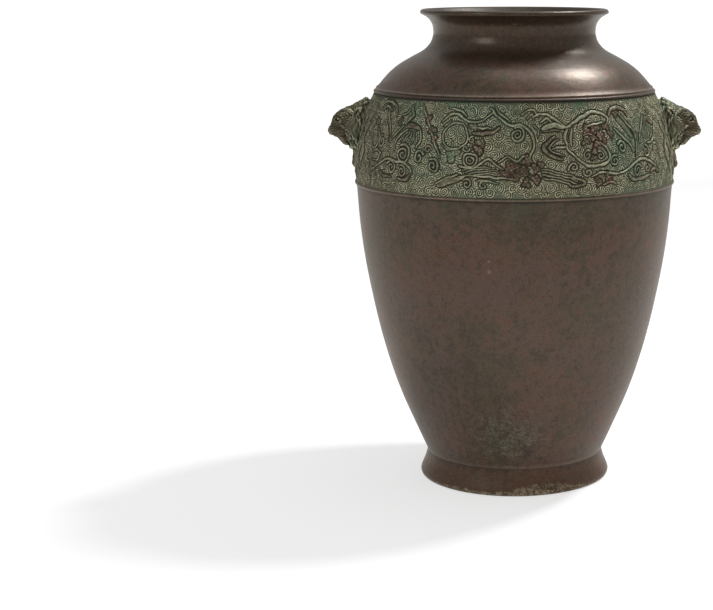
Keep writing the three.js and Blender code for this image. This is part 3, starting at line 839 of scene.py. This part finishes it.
def draw_frieze():
    """All figures, and the ground spirals whose places the photograph shows."""
    f = Relief()
    for draw in (draw_beast, draw_fern, draw_leaves, draw_cloud, draw_right_cluster, draw_left_cluster):
        draw(f)
    draw_mane(f, 1)
    draw_mane(f, -1)
    f.rounds = [(-22.4, 208.4, 2.9), (-19.0, 204.6, 2.6), (-2.4, 201.0, 4.2), (-15.2, 219.0, 2.6),
                (0.0, 218.8, 2.4), (-4.4, 220.0, 1.8), (20, 217.2, 3.0), (26.4, 220.2, 1.8),
                (9.4, 206.0, 1.9), (16.4, 203.6, 2.3), (3.4, 202.0, 1.9), (8.2, 196.3, 2.2),
                (12, 192.4, 2.3), (16, 190.8, 2.4), (-5.2, 180.4, 2.6), (-0.6, 179.9, 1.8),
                (12.2, 180.2, 2.6), (40.2, 180.4, 2.5), (24.2, 211.0, 2.2), (22.6, 206.6, 1.9),
                (17.4, 207.6, 1.7), (16.8, 196.0, 1.5)]
    return f


def wrapped(radius, columns, z):
    """Points round the axis, a row for each height and a column for each grid column."""
    angle = (columns - COLUMNS // 2) / COLUMNS * math.pi
    level = np.repeat(z[:, None], len(columns), 1)
    return np.dstack([radius * np.sin(angle), -radius * np.cos(angle), level])


def relief_points(columns, heights):
    """Points on the relief's surface for these grid columns."""
    return wrapped(frieze_radius(ROW_Z)[:, None] + heights[:, columns % COLUMNS], columns, ROW_Z)


def relief_normals(columns, heights):
    """Normals at those points, worked out with one more column on each side, so no joint shows."""
    grid = relief_points(np.arange(columns[0] - 1, columns[-1] + 2), heights)
    sideways = grid[:, 2:] - grid[:, :-2]
    up = np.gradient(grid, axis=0)[:, 1:-1]
    normal = np.cross(sideways, up)
    return normal / np.linalg.norm(normal, axis=2, keepdims=True)


def frieze_panel(name, first, heights, marks, finish):
    """A quarter of the frieze as a closed slab seated in the wall; first is its first column."""
    columns = first + np.arange(QUARTER + 1)
    front = relief_points(columns, heights)
    rows = np.arange(0, ROWS + 1, BACK_ROWS)
    cols = np.arange(0, QUARTER + 1, BACK_COLUMNS)
    back = wrapped((frieze_radius(ROW_Z[rows]) - PANEL_DEPTH)[:, None], columns[cols], ROW_Z[rows])
    index = np.arange(front[..., 0].size).reshape(front.shape[:2])
    behind = index.size + np.arange(back[..., 0].size).reshape(back.shape[:2])
    faces = quads(index).tolist() + np.roll(quads(behind)[:, ::-1], 1, 1).tolist()
    for i in range(len(cols) - 1):
        span = slice(cols[i], cols[i + 1] + 1)
        faces.append([*behind[0, i:i + 2].tolist(), *index[0, span][::-1].tolist()])
        faces.append([*behind[-1, i:i + 2][::-1].tolist(), *index[-1, span].tolist()])
    for i in range(len(rows) - 1):
        span = slice(rows[i], rows[i + 1] + 1)
        faces.append([*behind[i:i + 2, 0][::-1].tolist(), *index[span, 0].tolist()])
        faces.append([*behind[i:i + 2, -1].tolist(), *index[span, -1][::-1].tolist()])
    points = np.vstack([front.reshape(-1, 3), back.reshape(-1, 3)])
    unmarked = np.zeros(behind.size)
    values = {k: np.append(v[:, columns % COLUMNS].ravel(), unmarked) for k, v in marks.items()}
    piece = new_piece(name, points, faces, finish, "vase_body", values)
    automatic = np.zeros((behind.size, 3))
    normals = np.vstack([relief_normals(columns, heights).reshape(-1, 3), automatic])
    piece.data.normals_split_custom_set_from_vertices(normals.tolist())


# Lion heads

class Block:
    """A carved block as a field of distances: below zero is metal."""

    def __init__(self, low, high, step):
        axes = [np.arange(a, b, step) for a, b in zip(low, high)]
        self.low, self.step = np.asarray(low, float), step
        self.x, self.y, self.z = (g.astype(np.float32) for g in np.meshgrid(*axes, indexing="ij"))
        self.side = np.abs(self.y)
        self.field = self.empty(self.x)

    def empty(self, like):
        return np.full(like.shape, FAR_FROM_METAL, np.float32)

    def egg(self, centre, radii, tilt=0.0):
        """Distance to an egg whose long axis is tilted nose-down by so many degrees."""
        dx, dy, dz = self.x - centre[0], self.side - centre[1], self.z - centre[2]
        c, s = math.cos(math.radians(tilt)), math.sin(math.radians(tilt))
        along, over = dx * c - dz * s, dx * s + dz * c
        a, b, h = radii
        near = np.sqrt((along / a) ** 2 + (dy / b) ** 2 + (over / h) ** 2)
        slope = np.sqrt((along / a ** 2) ** 2 + (dy / b ** 2) ** 2 + (over / h ** 2) ** 2)
        return near * (near - 1) / np.maximum(slope, 1e-6)

    def cord(self, path, thick):
        """Distance to a round cord along a path; thick is its radius, spread evenly over the path."""
        path = through(path, 4)
        thick = np.atleast_1d(thick)
        radius = np.interp(np.linspace(0, 1, len(path)), np.linspace(0, 1, len(thick)), thick)
        low, high = path.min(0) - 3.5, path.max(0) + 3.5
        box = np.ones(self.x.shape, bool)
        for places, start, end in zip((self.x, self.side, self.z), low, high):
            box &= (places > start) & (places < end)
        x, y, z = self.x[box], self.side[box], self.z[box]
        near = self.empty(x)
        for i in range(len(path) - 1):
            d = path[i + 1] - path[i]
            dx, dy, dz = x - path[i, 0], y - path[i, 1], z - path[i, 2]
            s = np.clip((dx * d[0] + dy * d[1] + dz * d[2]) / (d @ d + 1e-9), 0, 1)
            gap = np.sqrt((dx - s * d[0]) ** 2 + (dy - s * d[1]) ** 2 + (dz - s * d[2]) ** 2)
            near = np.minimum(near, gap - (radius[i] + (radius[i + 1] - radius[i]) * s))
        best = self.empty(self.x)
        best[box] = near
        return best

    def add(self, other, blend=0.8):
        """Adds metal; blend is the width over which its joint is rounded."""
        h = np.clip(0.5 + 0.5 * (self.field - other) / blend, 0, 1)
        self.field = self.field * (1 - h) + other * h - blend * h * (1 - h)

    def cut(self, other, blend=0.5):
        """Takes metal away; blend is the width over which the edge is rounded."""
        h = np.clip(0.5 - 0.5 * (self.field + other) / blend, 0, 1)
        self.field = self.field * (1 - h) - other * h + blend * h * (1 - h)


def surface(block):
    """Closed mesh on the zero level of a block's field: one point in each cell that the level
    passes through, and a face across each grid edge that it cuts."""
    field = block.field
    shape = np.array(field.shape)
    inside = field < 0
    corners = [(i, j, k) for i in (0, 1) for j in (0, 1) for k in (0, 1)]
    cells = shape - 1
    total = np.zeros(cells, np.int8)
    for i, j, k in corners:
        total += inside[i:i + cells[0], j:j + cells[1], k:k + cells[2]]
    at = np.argwhere((total > 0) & (total < 8))
    ids = np.full(cells, -1)
    ids[tuple(at.T)] = np.arange(len(at))
    place, count = np.zeros((len(at), 3)), np.zeros(len(at))
    for a in corners:
        for axis in range(3):
            if a[axis]:
                continue
            b = list(a)
            b[axis] = 1
            fa, fb = field[tuple((at + a).T)], field[tuple((at + b).T)]
            cross = (fa < 0) != (fb < 0)
            t = np.where(cross, fa / np.where(cross, fa - fb, 1), 0)
            place += np.where(cross[:, None], np.array(a) + t[:, None] * (np.array(b) - a), 0)
            count += cross
    points = (at + place / count[:, None]) * block.step + block.low
    faces = []
    for axis in range(3):
        u, v = (axis + 1) % 3, (axis + 2) % 3
        lower = [slice(0, n) for n in shape]
        upper = [slice(0, n) for n in shape]
        lower[axis], upper[axis] = slice(0, -1), slice(1, None)
        first, second = inside[tuple(lower)], inside[tuple(upper)]
        edges = np.argwhere(first != second)
        for side in (u, v):
            edges = edges[(edges[:, side] > 0) & (edges[:, side] < cells[side])]
        quad = []
        for du, dv in ((-1, -1), (0, -1), (0, 0), (-1, 0)):
            cell = edges.copy()
            cell[:, u] += du
            cell[:, v] += dv
            quad.append(ids[tuple(cell.T)])
        quad = np.column_stack(quad)
        out = first[tuple(edges.T)]
        quad[~out] = quad[~out][:, ::-1]
        faces.append(quad)
    return points, np.vstack(faces)


def averaged(points, faces, values, passes):
    """Values blurred over the mesh's edges."""
    pairs = np.vstack([np.column_stack([faces[:, i], faces[:, (i + 1) % 4]]) for i in range(4)])
    one, other = pairs.T
    count = np.bincount(pairs.ravel(), minlength=len(points))
    for _ in range(passes):
        total = np.zeros_like(values)
        for c in range(values.shape[1]):
            total[:, c] = np.bincount(one, values[other, c], len(points))
            total[:, c] += np.bincount(other, values[one, c], len(points))
        values = 0.4 * values + 0.6 * total / count[:, None]
    return values


def vertex_normals(points, faces):
    """Normals at the points, each the mean of its faces' normals weighted by their size."""
    a, b, c, d = (points[corner] for corner in faces.T)
    diagonal = np.cross(c - a, d - b)
    normal = np.zeros_like(points)
    for corner in faces.T:
        for axis in range(3):
            normal[:, axis] += np.bincount(corner, diagonal[:, axis], len(points))
    return normal / np.maximum(np.linalg.norm(normal, axis=1, keepdims=True), 1e-9)


def carve_skull(b):
    """Skull, cheek, upper face, muzzle, jaw and beard."""
    b.add(b.egg((84.2, 0, 208.4), (13.0, 13.2, 11.2), 8), 0.5)
    b.add(b.egg((88.5, 8.4, 203.6), (8.0, 6.0, 9.4), 12), 2.0)
    b.add(b.egg((95.8, 0, 207.8), (9.6, 8.4, 6.6), 26), 2.4)
    b.add(b.egg((97.0, 0, 202.2), (9.4, 7.6, 3.4), 4), 1.2)
    b.add(b.cord([(86, 0, 197.5), (93, 0, 197.0), (99.6, 0, 199.2)], (7.4, 5.6, 2.4)), 1.2)
    b.add(b.cord([(86, 3, 193.6), (92.6, 1.5, 193.4)], (4.2, 2.4)), 1.0)


def carve_eye(b):
    """Brow ridge, the eye in its hollow and the folds round it."""
    b.add(b.cord([(97.4, 1.8, 213.0), (96.0, 5.4, 214.0), (93.2, 9.0, 213.6), (90.4, 11.2, 211.4)],
                 (0.8, 1.3, 1.3, 0.8)), 0.8)
    b.cut(b.egg((100.4, 5.6, 209.0), (1.9, 1.9, 1.6)), 0.5)
    b.add(b.egg((99.8, 5.0, 208.9), (1.45, 1.5, 1.25)), 0.3)
    for k in range(3):
        b.add(b.cord([(100.8 - 1.2 * k, 5.0 + 0.6 * k, 211.5 + 0.5 * k),
                      (98.2 - 1.5 * k, 7.4 + 0.5 * k, 210.9 + 0.8 * k),
                      (96.2 - 1.4 * k, 8.4 + 0.6 * k, 208.6 + 0.6 * k)], (0.3, 0.5, 0.3)), 0.8)


def carve_muzzle(b):
    """Bridge of the nose, nostrils, snout, lips, mouth and the grooves of the jaw."""
    b.add(b.cord([(97.0, 0, 213.0), (100.2, 0, 211.2), (102.2, 0, 208.8)], (1.8, 1.6, 1.8)), 1.0)
    b.add(b.egg((102.4, 2.4, 207.6), (2.0, 1.8, 1.5)), 0.6)
    b.cut(b.egg((104.3, 2.4, 207.0), (0.9, 0.8, 0.6)), 0.3)
    b.add(b.egg((100.8, 1.4, 202.6), (5.9, 4.8, 4.0), 8), 1.6)
    lip = [(98.8, 8.0, 205.4), (97.2, 9.0, 204.9), (93.4, 11.3, 202.8), (90.4, 12.9, 199.0),
           (88.4, 13.5, 195.4)]
    b.add(b.cord(lip, (0.4, 0.95, 1.2, 1.35, 1.2)), 0.5)
    b.cut(b.cord([(x + 0.3, y + 0.4, z - 1.9) for x, y, z in lip[:4]], (0.3, 0.6, 0.6, 0.4)), 0.5)
    b.cut(b.egg((105.4, 2.6, 204.2), (1.1, 0.9, 0.7)), 0.3)
    b.cut(b.cord([(106.4, 0, 200.9), (104.6, 3.9, 201.0), (101.4, 6.3, 201.4)], (0.35, 0.4, 0.3)), 0.3)
    b.cut(b.cord([(105.0, 0.2, 198.3), (103.2, 3.8, 198.4), (99.8, 6.6, 198.9), (96.6, 8.4, 200.3)],
                 (1.0, 1.0, 0.6)), 0.4)
    for k in range(6):
        y = 0.7 + 1.6 * k
        groove = [(101.6 - 0.9 * k, y * 0.8, 199.6), (97.0 - 0.7 * k, y + 0.5, 196.0),
                  (91.4, y + 0.9, 191.6)]
        b.cut(b.cord(groove, (0.3, 0.45, 0.45)), 0.3)


def carve_crown(b):
    """Tufts on the crown, and the ear with its hollow."""
    for y, z, x in ((0.0, 216.6, 90.2), (3.4, 216.2, 89.9), (6.6, 215.0, 89.6)):
        b.add(b.cord([(x + 3.6, y * 0.9, z - 2.6), (x, y, z - 0.3), (x - 5.4, y * 1.15, z + 3.4)],
                     (0.7, 1.1, 1.1)), 0.5)
        b.cut(b.cord([(x + 2.8, y + 1.7, z - 2.5), (x - 5.0, y * 1.15 + 1.9, z + 3.1)], 0.35), 0.3)
    b.add(b.egg((88.2, 11.2, 213.4), (2.0, 1.8, 3.2), -32), 0.6)
    b.cut(b.egg((89.4, 12.4, 213.2), (0.9, 1.0, 2.0), -32), 0.3)


def carve_locks(b):
    """Locks behind the cheek and under the jaw, and the creases of the cheek."""
    for k in range(5):
        z = np.array([212.4 - 1.2 * k, 208.5, 204.0, 199.6, 195.4 + 0.4 * k])
        sway = 0.7 * np.sin(z / 1.9 + 1.7 * k)
        x = 91.4 - 1.6 * k + sway + 0.04 * (z - 204)
        y = np.full(len(z), 11.6 + 0.75 * k)
        b.add(b.cord(np.column_stack([x, y, z]), (0.5, 0.9, 0.9, 0.5)), 0.35)
    for k in range(3):
        tip = (94.2 - 1.6 * k, 8.6 + 1.2 * k, 197.6 - 1.2 * k)
        bend = (92.0 - 1.2 * k, 10.6 + 0.8 * k, 194.6 - 0.6 * k)
        b.add(b.cord([tip, bend, (88.0, 11.0 + 0.9 * k, 192.6)], (0.6, 1.1, 0.6)), 0.5)
    for k in range(4):
        front = (98.2 - 0.7 * k, 8.6 + 0.3 * k, 207.6 + 0.7 * k)
        middle = (94.8 - 0.5 * k, 10.6, 207.0 + 1.3 * k)
        end = (91.8 - 0.5 * k, 12.2, 205.2 + 2.0 * k)
        b.cut(b.cord([front, middle, end], (0.3, 0.45, 0.3)), 0.3)


def carve_hair(b):
    """Fine strands over the mane, and wrinkles over the face."""
    hair = 1 - smoothstep(90.5, 94.5, b.x + 0.25 * (b.z - 208))
    wave = 0.8 * np.sin(b.z / 1.7 + 0.3 * b.side) + 0.6 * np.sin(b.z / 3.1 - 0.8 * b.x)
    strand = np.cos(TURN * (b.x + wave + 0.2 * b.side) / 2.1)
    wrinkle = np.cos(TURN * (b.z + 0.45 * b.x + 0.4 * np.sin(b.x * 1.5 + b.side)) / 1.5)
    b.field = b.field - 0.19 * hair * strand - 0.15 * (1 - hair) * wrinkle


def carve_head(b):
    """A lion's head that looks along +X, in millimetres from the vase's axis, and the same on both
    sides; its back follows the wall, a little inside it."""
    for carve in (carve_skull, carve_eye, carve_muzzle, carve_crown, carve_locks, carve_hair):
        carve(b)
    wall = frieze_radius(b.z) - HEAD_SINK - np.hypot(b.x, b.y)
    b.field = np.maximum(b.field, wall)


def head_mesh(step):
    """Points, faces and marks of the head that looks along +X."""
    b = Block(HEAD_LOW, HEAD_HIGH, step)
    carve_head(b)
    points, faces = surface(b)
    points = averaged(points, faces, points, 2)
    hollow = averaged(points, faces, points, 14) - points
    shape = (hollow * vertex_normals(points, faces)).sum(1)
    in_cheek = smoothstep(9, 11, np.abs(points[:, 1])) * band(points[:, 2], 201, 5.5)
    # Pale bulges are partly rubbed metal and partly painted highlight; the hollows get painted shade.
    marks = {
        "wear_and_highlight": smoothstep(0.03, 0.2, -shape) * 0.7,
        "painted_shade": smoothstep(0.02, 0.16, shape) * 0.85,
        "figure": 0.3 + 0.3 * smoothstep(88, 98, points[:, 0]) + 0.3 * smoothstep(99, 103, points[:, 0]),
        "verdigris": 0.7 * in_cheek * smoothstep(0.02, 0.1, shape),
    }
    return points, faces, marks


# What a user would change

class VaseSizes(bpy.types.PropertyGroup):
    """Sizes of the vase and of its relief"""

    height: FloatProperty(name="Height", description="From the foot to the lip",
                          default=BODY_HIGH.z - BODY_LOW.z, min=0.1, unit="LENGTH", subtype="DISTANCE")
    relief: FloatProperty(name="Relief", description="How far the figures stand out, as a share",
                          default=1.0, min=0.2, max=1.5, subtype="FACTOR")
    segments: IntProperty(name="Segments", description="Steps round the turned body", default=256, min=64)
    head_step: FloatProperty(name="Head detail", description="Grid step of the heads in millimetres",
                             default=0.37, min=0.2, max=1.0)


def tint(name, value, note):
    return FloatVectorProperty(name=name, description=note, default=value, size=3, subtype="COLOR", min=0,
                               max=1)


class VaseFinish(bpy.types.PropertyGroup):
    """Colours of the bronze and of its patina, and of the painted shade in grooves and the painted
    highlight on the crests
    """

    bronze: tint("Bronze", (0.064, 0.039, 0.021), "Brown patina of the body")
    bronze_dark: tint("Dark bronze", (0.03, 0.019, 0.0105), "Darker clouds in the body's patina")
    bronze_red: tint("Red bronze", (0.102, 0.04, 0.023), "Red-brown clouds")
    bronze_purple: tint("Purple bronze", (0.062, 0.042, 0.036), "Purple-grey bloom")
    bronze_olive: tint("Olive bronze", (0.04, 0.037, 0.019), "Olive clouds")
    bronze_foot: tint("Foot", (0.085, 0.042, 0.022), "Redder band of the foot")
    bronze_pale: tint("Pale bronze", (0.12, 0.095, 0.075), "Fine pale grain")
    verdigris: tint("Verdigris", (0.043, 0.07, 0.048), "Green corrosion")
    crust: tint("Crust", (0.26, 0.225, 0.14), "Pale crust on the foot's edge")
    worn: tint("Worn edge", (0.25, 0.2, 0.15), "Rubbed crests of the mouldings")
    # Painted shade: the near-black colour laid into grooves and hollows.
    groove: tint("Groove", (0.008, 0.007, 0.005), "Depth of grooves")
    ground: tint("Ground", (0.14, 0.14, 0.083), "Grey-green ground of the frieze")
    ground_teal: tint("Teal ground", (0.084, 0.134, 0.084), "Blue-green ground of the frieze")
    ground_brown: tint("Brown ground", (0.105, 0.085, 0.055), "Brown parts of the ground")
    figure: tint("Figures", (0.062, 0.044, 0.028), "Brown figures")
    figure_red: tint("Red figures", (0.085, 0.036, 0.024), "Red-brown spots on the figures")
    # Partly rubbed metal, partly painted highlight on the ridges.
    wear_and_highlight: tint("Crests", (0.54, 0.51, 0.35), "Pale rubbed ridges")
    roughness: FloatProperty(name="Roughness", description="Roughness of the body", default=0.34, min=0,
                             max=1)


class VASE_OT_body(bpy.types.Operator):
    """Turn the foot, belly, mouldings, shoulder, neck and inside"""

    bl_idname = "vase.body"
    bl_label = "Turned body"

    def execute(self, context):
        points, faces, marks = turned_shell(context.scene.vase_sizes.segments)
        new_piece("vase_shell", points, faces, body_finish(), "vase_body", marks)
        return {"FINISHED"}


class VASE_OT_frieze(bpy.types.Operator):
    """Lay the relief frieze round the shoulder in four panels"""

    bl_idname = "vase.frieze"
    bl_label = "Frieze"

    def execute(self, context):
        relief = draw_frieze()
        heights = relief.heights(context.scene.vase_sizes.relief)
        fine, wide = soften(heights, 5), soften(heights, 24)
        rise = (heights - fine) * 1.4 + (heights - wide) * 0.7
        # Painted shadow that the upper bead casts on the top of the frieze; the pale crests are left out
        # there.
        painted_shadow_under_bead = 0.8 * smoothstep(222.8, 224.2, ROW_Z)[:, None]
        # Painted shade in the hollows of the relief and in the moats round the figures.
        grooves = 0.88 * smoothstep(0.02, 0.26, -rise)
        marks = {
            # Crests: partly rubbed metal, partly painted highlight.
            "wear_and_highlight": smoothstep(0.03, 0.34, rise) * (1 - 0.5 * relief.core) * (1 - painted_shadow_under_bead),
            "painted_shade": np.maximum(grooves, 0.74 * relief.moat).clip(painted_shadow_under_bead),
            "figure": np.clip(relief.brown, 0, 1),
            "verdigris": np.zeros_like(heights),
        }
        finish = relief_finish("patina_frieze", 0.0, 0.8, 0.85)
        for i, side in enumerate(("left", "front", "right", "back")):
            first = COLUMNS // 4 + (i - 1) * QUARTER
            frieze_panel(f"frieze_{side}", first, heights, marks, finish)
        return {"FINISHED"}


class VASE_OT_heads(bpy.types.Operator):
    """Carve the lion's head and set one on each side"""

    bl_idname = "vase.heads"
    bl_label = "Lion heads"

    def execute(self, context):
        points, faces, marks = head_mesh(context.scene.vase_sizes.head_step)
        finish = relief_finish("patina_head", 0.1, 0.3, 0.45)
        new_piece("lion_right", points, faces.tolist(), finish, "lion_head_right", marks)
        new_piece("lion_left", points * [-1, -1, 1], faces.tolist(), finish, "lion_head_left", marks)
        return {"FINISHED"}


class VASE_OT_stage(bpy.types.Operator):
    """Set the pale floor, the soft lights and the camera"""

    bl_idname = "vase.stage"
    bl_label = "Stage"

    def execute(self, context):
        lay_floor()
        light_stage(context.scene)
        set_camera(context.scene)
        return {"FINISHED"}


def lay_floor():
    """A white floor, a little brighter away from the lamp so that it stays white there."""
    mesh = bpy.data.meshes.new("floor")
    reach = FLOOR_REACH
    corners = [(-reach, -reach, 0), (reach, -reach, 0), (reach, reach, 0), (-reach, reach, 0)]
    mesh.from_pydata(corners, [], [(0, 1, 2, 3)])
    floor = bpy.data.objects.new("floor", mesh)
    bpy.context.scene.collection.objects.link(floor)
    pale = Finish("pale_floor")
    beyond = pale.away((KEY_LAMP[0], KEY_LAMP[1], 0)).between(1.05, 1.5)
    mesh.materials.append(pale.close({
        "Base Color": (0.5, 0.5, 0.5, 1),
        "Roughness": 1.0,
        "Specular IOR Level": 0.0,
        "Emission Color": pale.mix(beyond, (0.59, 0.59, 0.59), (0.8, 0.8, 0.8)),
        "Emission Strength": 1.0,
    }))


def light_stage(scene):
    """White surroundings, one near lamp for the shadow and three glows for the sheen."""
    world = bpy.data.worlds.new("studio")
    world.use_nodes = True
    background = world.node_tree.nodes["Background"].inputs
    background["Color"].default_value = (1, 1, 1, 1)
    background["Strength"].default_value = 0.58
    scene.world = world
    key = round_lamp("key", KEY_LAMP, KEY_TARGET, 0.17, 11.9)
    key.visible_glossy = False
    for name, place, size, power in (
        ("key_glow", (0.575, 0.415, 1.285), 0.28, 13.5),
        ("top_glow", (0.08, 0.13, 1.3), 0.7, 2.2),
        ("left_glow", (-0.62, -0.67, 0.75), 0.14, 1.6),
    ):
        glow = round_lamp(name, place, GLOW_TARGET, size, power, GLOW_COLOUR)
        glow.visible_diffuse = False


def round_lamp(name, place, target, size, power, colour=(1, 1, 1)):
    """A round soft lamp that looks at its target."""
    data = bpy.data.lights.new(name, "AREA")
    data.shape = "DISK"
    data.size = size
    data.energy = power
    data.color = colour
    lamp = bpy.data.objects.new(name, data)
    lamp.location = place
    lamp.rotation_euler = (Vector(target) - Vector(place)).to_track_quat("-Z", "Y").to_euler()
    bpy.context.scene.collection.objects.link(lamp)
    return lamp


def set_camera(scene):
    """The camera of the photograph, its lens shifted because the vase stands to the right."""
    camera = bpy.data.cameras.new("camera")
    camera.lens = CAMERA_LENS
    camera.sensor_width = 36
    camera.shift_x = CAMERA_SHIFT
    camera.dof.use_dof = False
    seat = bpy.data.objects.new("camera", camera)
    seat.location = CAMERA_PLACE
    seat.rotation_euler = (math.pi / 2 - CAMERA_PITCH, 0, 0)
    scene.collection.objects.link(seat)
    scene.camera = seat
    scene.view_settings.view_transform = "Standard"


class VASE_PT_panel(bpy.types.Panel):
    """Lists the vase's sizes, colours and pieces"""

    bl_idname = "VASE_PT_panel"
    bl_label = "Bronze vase"
    bl_space_type = "VIEW_3D"
    bl_region_type = "UI"
    bl_category = "Vase"

    def draw(self, context):
        for group in (context.scene.vase_sizes, context.scene.vase_finish):
            for name in group.__annotations__:
                self.layout.prop(group, name)
        for operator in OPERATORS:
            self.layout.operator(operator.bl_idname)


GROUPS = (VaseSizes, VaseFinish)
OPERATORS = (VASE_OT_body, VASE_OT_frieze, VASE_OT_heads, VASE_OT_stage)


def register():
    for item in (*GROUPS, *OPERATORS, VASE_PT_panel):
        bpy.utils.register_class(item)
    bpy.types.Scene.vase_sizes = PointerProperty(type=VaseSizes)
    bpy.types.Scene.vase_finish = PointerProperty(type=VaseFinish)


def unregister():
    del bpy.types.Scene.vase_finish
    del bpy.types.Scene.vase_sizes
    for item in reversed((*GROUPS, *OPERATORS, VASE_PT_panel)):
        bpy.utils.unregister_class(item)


def main():
    register()
    bpy.ops.vase.body()
    bpy.ops.vase.frieze()
    bpy.ops.vase.heads()
    bpy.ops.vase.stage()


if __name__ == "__main__":
    main()
